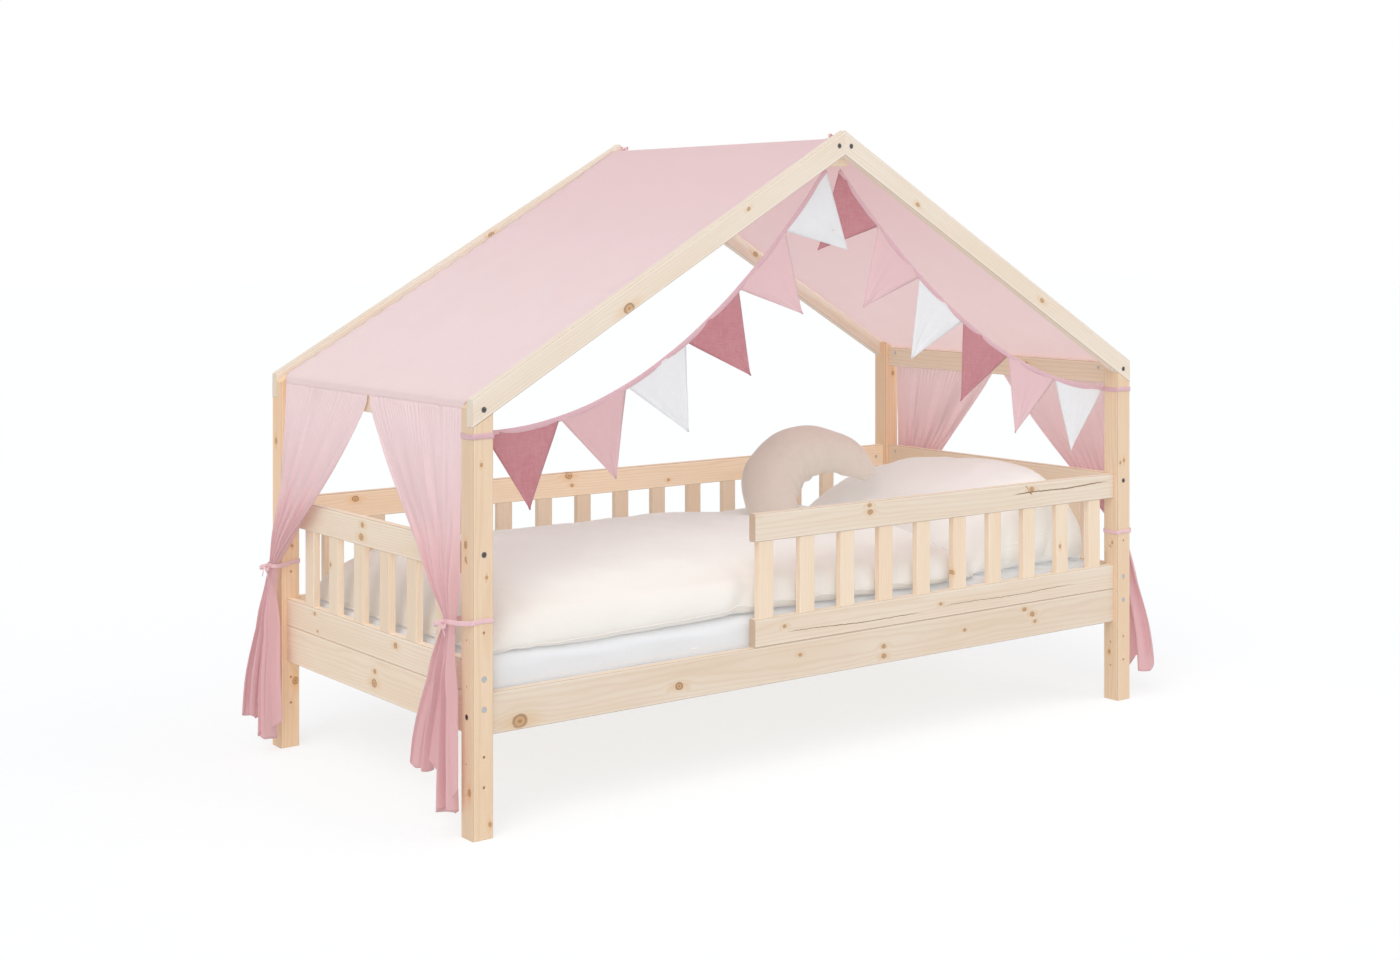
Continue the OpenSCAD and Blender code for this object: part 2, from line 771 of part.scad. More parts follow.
// Hanging line of one half of the bunting, [x, z], u from 0 at the post to 1 at the ridge
function bunting_point(u, right) =
    let (s = 1.228 * u - 0.228 * u * u, run = bed_l / 2 - post - ridge_w / 2 - 4,
        sag = right == 1 ? bunting_sag_right : bunting_sag_left)
    [post + 4 + run * s,
        bunting_low + (bunting_high - bunting_low) * s - 4 * sag * s * (1 - s)];

// Draws children along segment i, with x along the line and y square to it. The right half
// hangs behind the left one, where their last pennants cross.
module along_segment(i, right) {
    a = bunting_point(i / pennants, right);
    b = bunting_point((i + 1) / pennants, right);
    translate([a[0], bunting_y + right * bunting_lap, a[1]])
        rotate([0, -atan2(b[1] - a[1], b[0] - a[0]), 0]) rotate([90, 0, 0]) children();
}

function segment_length(i, right) =
    norm(bunting_point((i + 1) / pennants, right) - bunting_point(i / pennants, right));

module bunting_tape() {
    color("Thistle") for (right = [0, 1]) corner(right, 0) {
        for (i = [0 : pennants - 1]) along_segment(i, right)
            translate([0.2, -tape_w, -tape_t / 2])
                linear_extrude(tape_t) square([segment_length(i, right) - 0.4, tape_w]);
        translate([0, 0, bunting_low - tape_w]) linear_extrude(tape_w) difference() {
            translate([-2, -2]) square(post + 4);
            translate([-0.4, -0.4]) square(post + 0.8);
        }
    }
}

// Pennants of one half that are at the listed places, counted from the post
module half_pennants(places, right) {
    for (i = places) along_segment(i, right) let (l = segment_length(i, right))
        translate([0, 0, -pennant_t / 2]) linear_extrude(pennant_t)
            polygon([[3, -tape_w - 0.2], [l - 3, -tape_w - 0.2], [l / 2, -pennant_h]]);
}

module pennants_rose() {
    color("RosyBrown") for (right = [0, 1]) corner(right, 0)
        half_pennants([2 * right, 3 + 2 * right], right);
}

module pennants_pink() {
    color("Pink") for (right = [0, 1]) corner(right, 0) half_pennants([1, 4], right);
}

module pennants_white() {
    color("White") for (right = [0, 1]) corner(right, 0)
        half_pennants([2 - 2 * right, 5 - 2 * right], right);
}

post_front_left();
post_front_right();
post_back_left();
post_back_right();
side_rail_front();
side_rail_back();
end_rail_left();
end_rail_right();
guard_front_bottom_rail();
guard_front_top_rail();
guard_front_slats();
guard_back_bottom_rail();
guard_back_top_rail();
guard_back_slats();
guard_left_bottom_rail();
guard_left_top_rail();
guard_left_slats();
guard_right_bottom_rail();
guard_right_top_rail();
guard_right_slats();
rafter_front_left();
rafter_front_right();
rafter_back_left();
rafter_back_right();
ridge_beam();
eave_beam_left();
eave_beam_right();
batten_front();
batten_back();
batten_screws();
base_slats_set();
base_straps();
side_bolts();
end_bolts();
roof_bolts();
barrel_nuts();
guard_dowels();
mattress();
duvet();
pillow();
crescent_cushion();
canopy();
curtain_front_left();
curtain_front_right();
curtain_back_left();
curtain_back_right();
tie_front_left();
tie_front_right();
tie_back_left();
tie_back_right();
ridge_ties();
bunting_tape();
pennants_rose();
pennants_pink();
pennants_white();
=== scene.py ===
import math

import bmesh
import bpy
import numpy as np
from mathutils import Euler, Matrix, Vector, noise
from mathutils.bvhtree import BVHTree
from mathutils.geometry import convex_hull_2d


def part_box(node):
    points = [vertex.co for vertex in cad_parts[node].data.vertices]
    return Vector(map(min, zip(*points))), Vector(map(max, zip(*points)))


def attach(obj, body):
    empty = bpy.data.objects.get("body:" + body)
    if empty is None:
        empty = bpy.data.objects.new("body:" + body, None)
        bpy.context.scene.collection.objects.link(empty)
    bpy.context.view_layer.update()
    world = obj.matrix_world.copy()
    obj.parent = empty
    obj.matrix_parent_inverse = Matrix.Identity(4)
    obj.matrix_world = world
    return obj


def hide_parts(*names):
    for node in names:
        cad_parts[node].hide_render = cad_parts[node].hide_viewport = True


# House-shaped toddler bed in pale softwood with a pink fabric roof, tied-back curtains,
# bunting and bedding. Metres, +X towards the head end, +Y towards the back, +Z up.
# Corner coordinates start at one outer corner of the bed: x inward along the length,
# y inward along the width. They are mirrored for the other three corners.

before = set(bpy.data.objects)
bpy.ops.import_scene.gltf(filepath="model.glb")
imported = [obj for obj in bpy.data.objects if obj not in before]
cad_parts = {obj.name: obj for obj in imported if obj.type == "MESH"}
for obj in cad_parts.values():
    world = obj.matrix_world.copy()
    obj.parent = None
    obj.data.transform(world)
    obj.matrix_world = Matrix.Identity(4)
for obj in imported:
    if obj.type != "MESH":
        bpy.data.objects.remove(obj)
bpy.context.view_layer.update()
random = np.random.default_rng(11)

# ------------------------------------------------------------------ places from the frame

POST_LOW, POST_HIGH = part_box("post_front_left")
BED_L = -2 * POST_LOW.x
BED_W = -2 * POST_LOW.y
POST = POST_HIGH.x - POST_LOW.x
RIDGE_W = 0.056
EAVE_H = 0.928
RIDGE_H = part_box("rafter_front_left")[1].z
ROOF_TAN = (RIDGE_H - EAVE_H) / (BED_L / 2)
RIDGE_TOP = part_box("ridge_beam")[1].z
RIDGE_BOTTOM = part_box("ridge_beam")[0].z
BEDDING_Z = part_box("duvet")[0].z
TIE_H = (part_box("tie_front_left")[0].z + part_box("tie_front_left")[1].z) / 2
SHEET_EDGE_X = 0.014
SHEET_EDGE_Z = EAVE_H - 0.005
SHEET_Y = 0.030
SEAM_Z = EAVE_H - 0.025
TAPE_W = 0.013
WAIST = Vector((-0.019, 0.057, TIE_H))
WAIST_R = 0.017

CORNERS = {
    "front_left": (0, 0),
    "front_right": (1, 0),
    "back_left": (0, 1),
    "back_right": (1, 1),
}


def from_corner(points, right=0, back=0):
    """Corner coordinates to the row frame, for one point or an array of them."""
    p = np.array(points, float)
    p[..., 0] = (p[..., 0] - BED_L / 2) * (-1 if right else 1)
    p[..., 1] = (p[..., 1] - BED_W / 2) * (-1 if back else 1)
    return p


# ------------------------------------------------------------------ shader building


class Shader:
    """A material's node tree. Inputs are values, colours or other nodes' outputs."""

    def __init__(self, name):
        self.material = bpy.data.materials.new(name)
        self.material.use_nodes = True
        self.tree = self.material.node_tree
        self.tree.nodes.clear()

    def node(self, kind, inputs=None, **settings):
        made = self.tree.nodes.new("ShaderNode" + kind)
        for key, value in settings.items():
            setattr(made, key, value)
        for key, value in (inputs or {}).items():
            socket = made.inputs[key]
            if isinstance(value, bpy.types.NodeSocket):
                self.tree.links.new(value, socket)
            elif isinstance(value, (tuple, list)) and len(value) == 3 and socket.type == "RGBA":
                socket.default_value = (*value, 1)
            else:
                socket.default_value = value
        return made

    def math(self, operation, a, b=0.0, c=0.0):
        return self.node("Math", {0: a, 1: b, 2: c}, operation=operation).outputs[0]

    def vector(self, operation, a, b=(0, 0, 0)):
        made = self.node("VectorMath", {0: a, 1: b}, operation=operation)
        return made.outputs["Value" if operation in ("DOT_PRODUCT", "LENGTH") else "Vector"]

    def ramp(self, value, low, high, low_to=0.0, high_to=1.0, smooth=True):
        return self.node(
            "MapRange",
            {"Value": value, "From Min": low, "From Max": high, "To Min": low_to, "To Max": high_to},
            interpolation_type="SMOOTHSTEP" if smooth else "LINEAR",
        ).outputs[0]

    def mix(self, factor, a, b, blend="MIX"):
        made = self.node("Mix", data_type="RGBA", blend_type=blend)
        for index, value in ((0, factor), (6, a), (7, b)):
            socket = made.inputs[index]
            if isinstance(value, bpy.types.NodeSocket):
                self.tree.links.new(value, socket)
            else:
                socket.default_value = value if index == 0 else (*value, 1)
        return made.outputs[2]

    def noise(self, at, scale, detail=2.0, roughness=0.5, distortion=0.0):
        return self.node(
            "TexNoise",
            {"Vector": at, "Scale": scale, "Detail": detail, "Roughness": roughness,
             "Distortion": distortion},
        ).outputs["Fac"]

    def scaled(self, at, scale, shift=(0, 0, 0)):
        return self.node("Mapping", {"Vector": at, "Scale": scale, "Location": shift}).outputs[0]

    def place(self):
        return self.node("TexCoord").outputs["Object"]

    def bump(self, height, strength, distance, normal=None):
        inputs = {"Height": height, "Strength": strength, "Distance": distance}
        if normal is not None:
            inputs["Normal"] = normal
        return self.node("Bump", inputs).outputs[0]

    def finish(self, surface):
        self.node("OutputMaterial", {"Surface": surface})
        return self.material


def knot_distance_group():
    """Node group: distance to a knot in knot radii, and in radii of the grain it pushes aside."""
    tree = bpy.data.node_groups.new("knot distance", "ShaderNodeTree")
    for name, kind in (("Place", "NodeSocketVector"), ("Centre", "NodeSocketVector"),
                       ("Scale", "NodeSocketVector"), ("Edge so far", "NodeSocketFloat"),
                       ("Flow so far", "NodeSocketFloat")):
        tree.interface.new_socket(name, in_out="INPUT", socket_type=kind)
    for name in ("Edge", "Flow"):
        tree.interface.new_socket(name, in_out="OUTPUT", socket_type="NodeSocketFloat")
    given = tree.nodes.new("NodeGroupInput")
    result = tree.nodes.new("NodeGroupOutput")

    def vector_node(operation, a, b=None):
        made = tree.nodes.new("ShaderNodeVectorMath")
        made.operation = operation
        tree.links.new(a, made.inputs[0])
        if isinstance(b, bpy.types.NodeSocket):
            tree.links.new(b, made.inputs[1])
        elif b is not None:
            made.inputs[1].default_value = b
        return made.outputs["Value" if operation == "LENGTH" else "Vector"]

    def least(a, b):
        made = tree.nodes.new("ShaderNodeMath")
        made.operation = "MINIMUM"
        tree.links.new(a, made.inputs[0])
        tree.links.new(b, made.inputs[1])
        return made.outputs[0]

    offset = vector_node("SUBTRACT", given.outputs["Place"], given.outputs["Centre"])
    offset = vector_node("MULTIPLY", offset, given.outputs["Scale"])
    edge = vector_node("LENGTH", offset)
    flow = vector_node("LENGTH", vector_node("MULTIPLY", offset, (0.33, 0.62, 0.62)))
    tree.links.new(least(edge, given.outputs["Edge so far"]), result.inputs["Edge"])
    tree.links.new(least(flow, given.outputs["Flow so far"]), result.inputs["Flow"])
    return tree


KNOTS = knot_distance_group()
FAR = 9.0


RING_SPACING = 0.0062  # mean distance of the growth rings


def pine(name, along, knots=(), cracks=(), tone_and_light=(1, 1, 1), seed=0, board=None):
    """Pale softwood whose grain runs along a direction of the row frame.

    knots are (place, through, radius): a knot is a bar of that radius in the direction through.
    cracks are (start, end, through, width), places in the row frame. A single board, given as
    its CAD part, gets a thin dark line along its edges and ends, painted shade and grime, with
    paler wood beside it."""
    s = Shader(name)
    axis_u = Vector(along).normalized()
    axis_v = Vector((0, 1, 0)) if abs(axis_u.y) < 0.9 else Vector((1, 0, 0))
    axis_w = axis_u.cross(axis_v)

    def to_grain(p):
        return Vector((axis_u.dot(p), axis_v.dot(p), axis_w.dot(p)))

    at = s.place()
    grain = s.node("CombineXYZ", {
        0: s.vector("DOT_PRODUCT", at, tuple(axis_u)),
        1: s.vector("DOT_PRODUCT", at, tuple(axis_v)),
        2: s.vector("DOT_PRODUCT", at, tuple(axis_w)),
    }).outputs[0]
    wobble = s.vector("SCALE", s.vector("SUBTRACT", s.node(
        "TexNoise", {"Vector": grain, "Scale": 55.0, "Detail": 3.0}).outputs["Color"], (0.5, 0.5, 0.5)))
    wobble.node.inputs["Scale"].default_value = 0.005
    wobbled = s.vector("ADD", grain, wobble)

    edge, flow = FAR, FAR
    for place, through, radius in knots:
        centre = to_grain(Vector(place))
        side = to_grain(Vector(through))
        scale = (0.8 / radius, *(0 if abs(c) > 0.5 else 1 / radius for c in side[1:]))
        group = s.node("Group", node_tree=KNOTS)
        for key, value in (("Place", wobbled), ("Centre", centre), ("Scale", scale),
                           ("Edge so far", edge), ("Flow so far", flow)):
            if isinstance(value, bpy.types.NodeSocket):
                s.tree.links.new(value, group.inputs[key])
            else:
                group.inputs[key].default_value = value
        edge, flow = group.outputs
    push = s.math("EXPONENT", s.math("MULTIPLY", s.math("POWER", flow, 2.0), -1.0))

    # growth rings round a pith outside the board, bent by slow noise and by the knots
    pith = random.uniform(-1, 1, 2) * 0.03 + np.array([0.05, 0.035]) * random.choice([-1, 1], 2)
    middle = to_grain(Vector(knots[0][0]) if knots else Vector((0, 0, 0)))
    slow = s.noise(s.scaled(grain, (1.3, 9, 9), (seed, seed * 0.37, 0)), 1.0, 3.0, 0.55)
    offset = s.vector("SUBTRACT", grain, (0, middle.y + pith[0], middle.z + pith[1]))
    from_pith = s.vector("MULTIPLY", offset, (0, 1, 1))
    reach = s.math("ADD", s.vector("LENGTH", from_pith), s.math("MULTIPLY", slow, 0.030))
    reach = s.math("ADD", reach, s.math("MULTIPLY", push, 0.011))
    wave = s.math("SINE", s.math("MULTIPLY", reach, 2 * math.pi / RING_SPACING))
    ring = s.math("ADD", s.math("MULTIPLY", wave, 0.5), 0.5)
    late_wood = s.math("POWER", ring, 2.6)
    fibre = s.noise(s.scaled(grain, (14, 620, 620)), 1.0, 3.0, 0.62)
    streak = s.noise(s.scaled(grain, (3, 60, 60), (0, 0, seed)), 1.0, 3.0, 0.5)
    cloud = s.noise(s.scaled(grain, (2.2, 11, 11), (seed, 0, 0)), 1.0, 2.0)

    cream, honey, straw = (0.83, 0.705, 0.565), (0.71, 0.52, 0.345), (0.78, 0.60, 0.43)
    colour = s.mix(s.ramp(cloud, 0.35, 0.7, 0.0, 0.5), cream, straw)
    colour = s.mix(s.math("MULTIPLY", late_wood, 0.34), colour, honey)
    colour = s.mix(s.ramp(streak, 0.45, 0.8, 0.0, 0.35), colour, straw)
    colour = s.mix(s.ramp(fibre, 0.25, 0.85, 0.16, 0.0), colour, (0.55, 0.37, 0.22))
    if knots:
        colour = s.mix(s.ramp(flow, 0.25, 1.5, 0.55, 0.0), colour, (0.72, 0.47, 0.25))
        bark = s.math("MULTIPLY", s.ramp(edge, 0.62, 0.86), s.ramp(edge, 1.25, 0.98))
        colour = s.mix(s.ramp(edge, 1.15, 0.90, 0.0, 0.80), colour, (0.56, 0.32, 0.145))
        colour = s.mix(s.math("MULTIPLY", s.math("MULTIPLY", bark, slow), 0.9), colour, (0.20, 0.10, 0.05))
        colour = s.mix(s.ramp(edge, 0.42, 0.1, 0.0, 0.60), colour, (0.22, 0.11, 0.05))
    height = s.math("ADD", s.math("MULTIPLY", late_wood, -0.35), s.math("MULTIPLY", fibre, 0.5))
    for start, end, through, width in cracks:
        mask = crack_mask(s, wobbled, to_grain(Vector(start)), to_grain(Vector(end)),
                          to_grain(Vector(through)), width)
        colour = s.mix(s.math("MULTIPLY", mask, 0.9), colour, (0.24, 0.12, 0.055))
        height = s.math("SUBTRACT", height, s.math("MULTIPLY", mask, 3.0))
    if board:
        edge_shade_and_grime, pale_rim = edge_masks(s, grain, board, to_grain, fibre)
        # paler wood along the board's edges
        colour = s.mix(s.math("MULTIPLY", pale_rim, 0.30), colour, (0.90, 0.80, 0.67))
        # painted shade and grime: a thin dark line along the board's edges and ends
        colour = s.mix(s.math("MULTIPLY", edge_shade_and_grime, 0.58), colour, (0.34, 0.19, 0.095))
    # for some boards and the back posts the tone also holds painted light
    colour = s.mix(1.0, colour, tone_and_light, "MULTIPLY")
    surface = s.node("BsdfPrincipled", {
        "Base Color": colour,
        "Roughness": s.math("ADD", 0.44, s.math("MULTIPLY", fibre, 0.2)),
        "Specular IOR Level": 0.35,
        "Normal": s.bump(height, 0.35, 0.0006),
    }).outputs[0]
    return s.finish(surface)


def edge_masks(s, grain, board, to_grain, fibre):
    """1 on the thin dark line along a board's edges and ends, painted shade and grime, and 1 on
    the paler wood beside it.
    """
    places = np.array([to_grain(v.co) for v in board.data.vertices])
    low, high = places.min(0), places.max(0)
    parts = s.node("SeparateXYZ", {0: grain}).outputs
    away = [s.math("MINIMUM", s.math("SUBTRACT", parts[i], float(low[i])),
                   s.math("SUBTRACT", float(high[i]), parts[i])) for i in range(3)]
    across = s.math("MAXIMUM", away[1], away[2])
    across = s.math("SUBTRACT", across, s.math("MULTIPLY", fibre, 0.0006))
    edge = s.ramp(across, 0.0004, 0.0024, 1.0, 0.0)
    end = s.ramp(away[0], 0.0003, 0.0014, 0.8, 0.0)
    return s.math("MAXIMUM", edge, end), s.ramp(across, 0.0070, 0.0028)


def crack_mask(s, at, start, end, through, width):
    """1 on a thin drying crack between two places on a board's face."""
    cross = 1 if abs(through[2]) > 0.5 else 2
    run = end - start
    parts = s.node("SeparateXYZ", {0: at}).outputs
    share = s.math("DIVIDE", s.math("SUBTRACT", parts[0], start[0]), run[0])
    wave = s.math("MULTIPLY", s.math("SINE", s.math("MULTIPLY", share, 9.0)), 0.0016)
    line = s.math("ADD", s.math("MULTIPLY_ADD", share, run[cross], start[cross]), wave)
    away = s.math("ABSOLUTE", s.math("SUBTRACT", parts[cross], line))
    taper = s.math("MULTIPLY", s.ramp(share, 0.0, 0.12), s.ramp(share, 1.0, 0.8))
    return s.math("MULTIPLY", s.ramp(s.math("DIVIDE", away, width), 1.0, 0.45), taper)


def cloth(name, colour, second, pitch=0.0006, through=0.0, roughness=0.85, sheen=0.3, fuzz=0.4, crease=0.0,
          weave_at="UV", depth=0.00025, low=None):
    """Woven or knitted fabric. pitch is the distance between threads and through the share
    of light that a thin cloth lets pass. second is the colour of its slubs and shaded threads.
    low is (from, to, colour): painted shade by height, the cloth turning to that deeper colour from the
    first height to the second."""
    s = Shader(name)
    at = s.node("TexCoord").outputs[weave_at]
    threads = s.scaled(at, (1 / pitch,) * 3)
    parts = s.node("SeparateXYZ", {0: threads}).outputs
    warp = s.math("SINE", s.math("MULTIPLY", parts[0], math.pi))
    weft = s.math("SINE", s.math("MULTIPLY", parts[1], math.pi))
    weave = s.math("MULTIPLY", warp, weft)
    if weave_at == "Object":
        weave = s.math("MULTIPLY", weave, s.math("SINE", s.math("MULTIPLY", parts[2], math.pi)))
    slub = s.noise(s.scaled(s.place(), (260, 260, 40)), 1.0, 3.0, 0.65)
    slub_across = s.noise(s.scaled(s.place(), (40, 220, 260)), 1.0, 3.0, 0.65)
    patch = s.noise(s.place(), 9.0, 3.0, 0.6)
    tint = s.math("ADD", s.math("MULTIPLY", slub, 0.5), s.math("MULTIPLY", slub_across, 0.5))
    shade = s.mix(s.ramp(tint, 0.35, 0.7, 0.0, fuzz), colour, second)
    shade = s.mix(s.ramp(patch, 0.3, 0.75, 0.0, 0.22), shade, second)
    # painted shade: the colour deepens with height, as given by low
    if low:
        height = s.node("SeparateXYZ", {0: s.place()}).outputs[2]
        shade = s.mix(s.ramp(height, low[0], low[1]), shade, low[2])
    height = s.math("ADD", s.math("MULTIPLY", weave, 0.5), tint)
    normal = s.bump(height, 0.35, depth)
    if crease:
        folds = s.noise(s.scaled(s.place(), (7, 7, 11)), 1.0, 4.0, 0.55, 0.8)
        normal = s.bump(folds, crease, 0.02, normal)
    surface = s.node("BsdfPrincipled", {
        "Base Color": shade,
        "Roughness": roughness,
        "Specular IOR Level": 0.2,
        "Sheen Weight": sheen,
        "Sheen Roughness": 0.5,
        "Normal": normal,
    }).outputs[0]
    if through:
        behind = s.node("BsdfTranslucent", {"Color": shade, "Normal": normal}).outputs[0]
        surface = s.node("MixShader", {0: through, 1: surface, 2: behind}).outputs[0]
    return s.finish(surface)


def metal(name, colour, roughness, bright_below=None):
    """Turned steel. Fasteners lower than bright_below are zinc plated instead."""
    s = Shader(name)
    at = s.place()
    scratch = s.noise(s.scaled(at, (900, 900, 900)), 1.0, 3.0)
    stain = s.noise(at, 160.0, 2.0)
    shade = s.mix(s.ramp(stain, 0.3, 0.8, 0.0, 0.5), colour, tuple(c * 0.6 for c in colour))
    if bright_below is not None:
        height = s.node("SeparateXYZ", {0: at}).outputs[2]
        low = s.math("LESS_THAN", height, bright_below)
        shade = s.mix(low, shade, (0.62, 0.64, 0.66))
    surface = s.node("BsdfPrincipled", {
        "Base Color": shade,
        "Metallic": 1.0,
        "Roughness": s.math("MULTIPLY_ADD", scratch, 0.2, roughness),
        "Normal": s.bump(scratch, 0.2, 0.0002),
    }).outputs[0]
    return s.finish(surface)


# ------------------------------------------------------------------ wooden parts

# Knots seen on the boards: (along, height or across, radius) in corner coordinates
SIDE_KNOTS = {
    "side_rail_front": [(0.125, 0.232, 0.014), (0.55, 0.247, 0.008), (0.91, 0.271, 0.004),
                        (1.18, 0.256, 0.005), (1.18, 0.232, 0.006), (1.46, 0.262, 0.004),
                        (1.68, 0.289, 0.005), (1.71, 0.273, 0.006), (1.72, 0.253, 0.004)],
    "guard_front_top_rail": [(1.133, 0.610, 0.005), (1.135, 0.592, 0.006), (1.708, 0.602, 0.006)],
    "guard_front_bottom_rail": [(0.862, 0.345, 0.004), (1.375, 0.338, 0.004)],
    "guard_back_top_rail": [(0.21, 0.600, 0.007), (0.86, 0.610, 0.009), (0.87, 0.582, 0.004),
                             (1.2, 0.572, 0.004)],
    "guard_back_bottom_rail": [(0.5, 0.33, 0.006), (1.5, 0.35, 0.005)],
    "side_rail_back": [(0.4, 0.25, 0.008), (1.3, 0.27, 0.007), (1.34, 0.24, 0.005)],
    "batten_front": [(0.7, 0.23, 0.004)],
    "batten_back": [(1.5, 0.225, 0.005)],
}
END_KNOTS = {
    "end_rail_left": [(0.468, 0.272, 0.005), (0.47, 0.245, 0.009)],
    "end_rail_right": [(0.3, 0.25, 0.007), (0.7, 0.28, 0.005)],
    "guard_left_bottom_rail": [(0.368, 0.348, 0.006), (0.776, 0.356, 0.004), (0.76, 0.316, 0.003)],
    "guard_left_top_rail": [(0.528, 0.601, 0.006), (0.534, 0.572, 0.008)],
    "guard_right_bottom_rail": [(0.25, 0.34, 0.005)],
    "guard_right_top_rail": [(0.66, 0.59, 0.006)],
    "eave_beam_left": [(0.6, 0.89, 0.005)],
    "eave_beam_right": [(0.35, 0.9, 0.006)],
}
POST_KNOTS = {  # (across, height, radius, direction through the post), from the post's own corner
    "post_front_left": [(0.031, 0.62, 0.006, "x"), (0.031, 0.59, 0.004, "x"), (0.015, 0.1, 0.006, "x"),
                        (0.033, 0.552, 0.003, "y"), (0.042, 0.03, 0.004, "y"), (0.02, 0.79, 0.003, "y")],
    "post_front_right": [(0.025, 0.655, 0.004, "y"), (0.04, 0.65, 0.003, "y"), (0.03, 0.13, 0.004, "x"),
                         (0.02, 0.43, 0.003, "x")],
    "post_back_left": [(0.039, 0.163, 0.007, "y"), (0.022, 0.76, 0.006, "x"), (0.03, 0.5, 0.003, "y")],
    "post_back_right": [(0.02, 0.84, 0.005, "y"), (0.03, 0.3, 0.006, "x")],
}
ROOF_KNOTS = {  # (along the length, radius, drop below the rafter's upper edge)
    "rafter_front_left": [(0.40, 0.011, 0.048), (0.74, 0.004, 0.02)],
    "rafter_front_right": [(0.35, 0.006, 0.03), (0.8, 0.005, 0.04)],
    "rafter_back_left": [(0.62, 0.007, 0.012), (0.3, 0.005, 0.04)],
    "rafter_back_right": [(0.55, 0.007, 0.03)],
}
CRACKS = {  # (along, height) of both ends and the width
    "guard_front_top_rail": [((1.63, 0.5915), (2.03, 0.5985), 0.0022),
                             ((1.684, 0.613), (1.712, 0.583), 0.0022)],
    "guard_front_bottom_rail": [((0.855, 0.330), (1.34, 0.322), 0.0012),
                                ((1.37, 0.331), (1.90, 0.333), 0.0010)],
}

BOARD_TONES_AND_LIGHT = {  # boards differ a little in colour; the front boards are also darkened and the back guard lightened as painted light, evening out the shade inside the bed
    "side_rail_front": (0.88, 0.90, 0.94),
    "guard_front_top_rail": (0.91, 0.94, 0.99),
    "guard_front_bottom_rail": (0.91, 0.94, 0.99),
    "end_rail_left": (1.03, 1.05, 1.08),
    "guard_left_top_rail": (1.02, 1.04, 1.07),
    "guard_left_bottom_rail": (1.02, 1.04, 1.07),
    "guard_back_top_rail": (1.16, 1.15, 1.11),
    "guard_back_bottom_rail": (1.16, 1.15, 1.11),
}
POST_TONE = (0.93, 0.86, 0.785)
# the back posts are lighter than the front ones as painted light, evening out the shade inside the bed
BACK_POST_TONE_AND_LIGHT = (1.03, 0.90, 0.775)
RAFTER_TONE = (0.96, 1.02, 1.11)


def wear(node, material):
    """Gives a CAD node its finished material."""
    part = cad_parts[node]
    part.data.materials.clear()
    part.data.materials.append(material)
    for polygon in part.data.polygons:
        polygon.material_index = 0


def finish_wood():
    seed = 0
    for node, knots in {**SIDE_KNOTS, **END_KNOTS}.items():
        seed += 3
        lengthwise = node in SIDE_KNOTS
        low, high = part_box(node)
        middle = (low + high) / 2
        through = (0, 1, 0) if lengthwise else (1, 0, 0)

        def place(along, height):
            if lengthwise:
                return (along - BED_L / 2, middle.y, height)
            return (middle.x, along - BED_W / 2, height)

        wear(node, pine(node, (1, 0, 0) if lengthwise else (0, 1, 0),
                        [(place(a, h), through, r) for a, h, r in knots],
                        [(place(*start), place(*end), through, width)
                         for start, end, width in CRACKS.get(node, [])],
                        BOARD_TONES_AND_LIGHT.get(node, (1, 1, 1)), seed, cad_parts[node]))
    for corner_name, (right, back) in CORNERS.items():
        node = "post_" + corner_name
        seed += 3
        knots = []
        for across, height, radius, through in POST_KNOTS[node]:
            corner = (POST / 2, across, height) if through == "x" else (across, POST / 2, height)
            way = (1, 0, 0) if through == "x" else (0, 1, 0)
            knots.append((from_corner(corner, right, back), way, radius))
        # the back posts' tone holds painted light
        wear(node, pine(node, (0, 0, 1), knots, (),
                        BACK_POST_TONE_AND_LIGHT if back else POST_TONE, seed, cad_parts[node]))
        node = "rafter_" + corner_name
        seed += 3
        knots = []
        for along, radius, drop in ROOF_KNOTS[node]:
            knots.append((from_corner((along, 0.0125, EAVE_H + along * ROOF_TAN - drop), right, back),
                          (0, 1, 0), radius))
        slope = -ROOF_TAN if right else ROOF_TAN
        wear(node, pine(node, (1, 0, slope), knots, (), RAFTER_TONE, seed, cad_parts[node]))
    for side, count in (("front", 3), ("back", 4), ("left", 2), ("right", 2)):
        seed += 3
        node = f"guard_{side}_slats"
        low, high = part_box(node)
        middle = (low + high) / 2
        knots = []
        for i in range(count):
            share = (i + 0.6) / count
            height = low.z + (0.25 + 0.5 * random.random()) * (high.z - low.z)
            if side in ("front", "back"):
                knots.append(((low.x + share * (high.x - low.x), middle.y, height), (0, 1, 0), 0.004))
            else:
                knots.append(((middle.x, low.y + share * (high.y - low.y), height), (1, 0, 0), 0.004))
        wear(node, pine(node, (0, 0, 1), knots, seed=seed))
    low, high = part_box("base_slats_set")
    knots = [((x, y, (low.z + high.z) / 2), (0, 0, 1), 0.007)
             for x, y in ((-0.72, 0.1), (-0.31, -0.22), (0.12, 0.05), (0.55, 0.3), (0.83, -0.15))]
    wear("base_slats_set", pine("base_slats", (0, 1, 0), knots, seed=77))
    low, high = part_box("ridge_beam")
    knots = [((0, y, (low.z + high.z) / 2), (1, 0, 0), 0.008) for y in (-0.2, 0.31)]
    wear("ridge_beam", pine("ridge_beam", (0, 1, 0), knots, seed=81))
    wear("guard_dowels", pine("dowel", (0, 0, 1), seed=85))


def finish_hardware():
    wear("end_bolts", metal("bolt_heads", (0.17, 0.165, 0.17), 0.34, bright_below=0.45))
    wear("side_bolts", metal("side_bolt_heads", (0.17, 0.165, 0.17), 0.34))
    wear("roof_bolts", metal("roof_bolt_heads", (0.17, 0.165, 0.17), 0.34))
    zinc = metal("zinc", (0.60, 0.62, 0.64), 0.36)
    wear("barrel_nuts", zinc)
    wear("batten_screws", zinc)


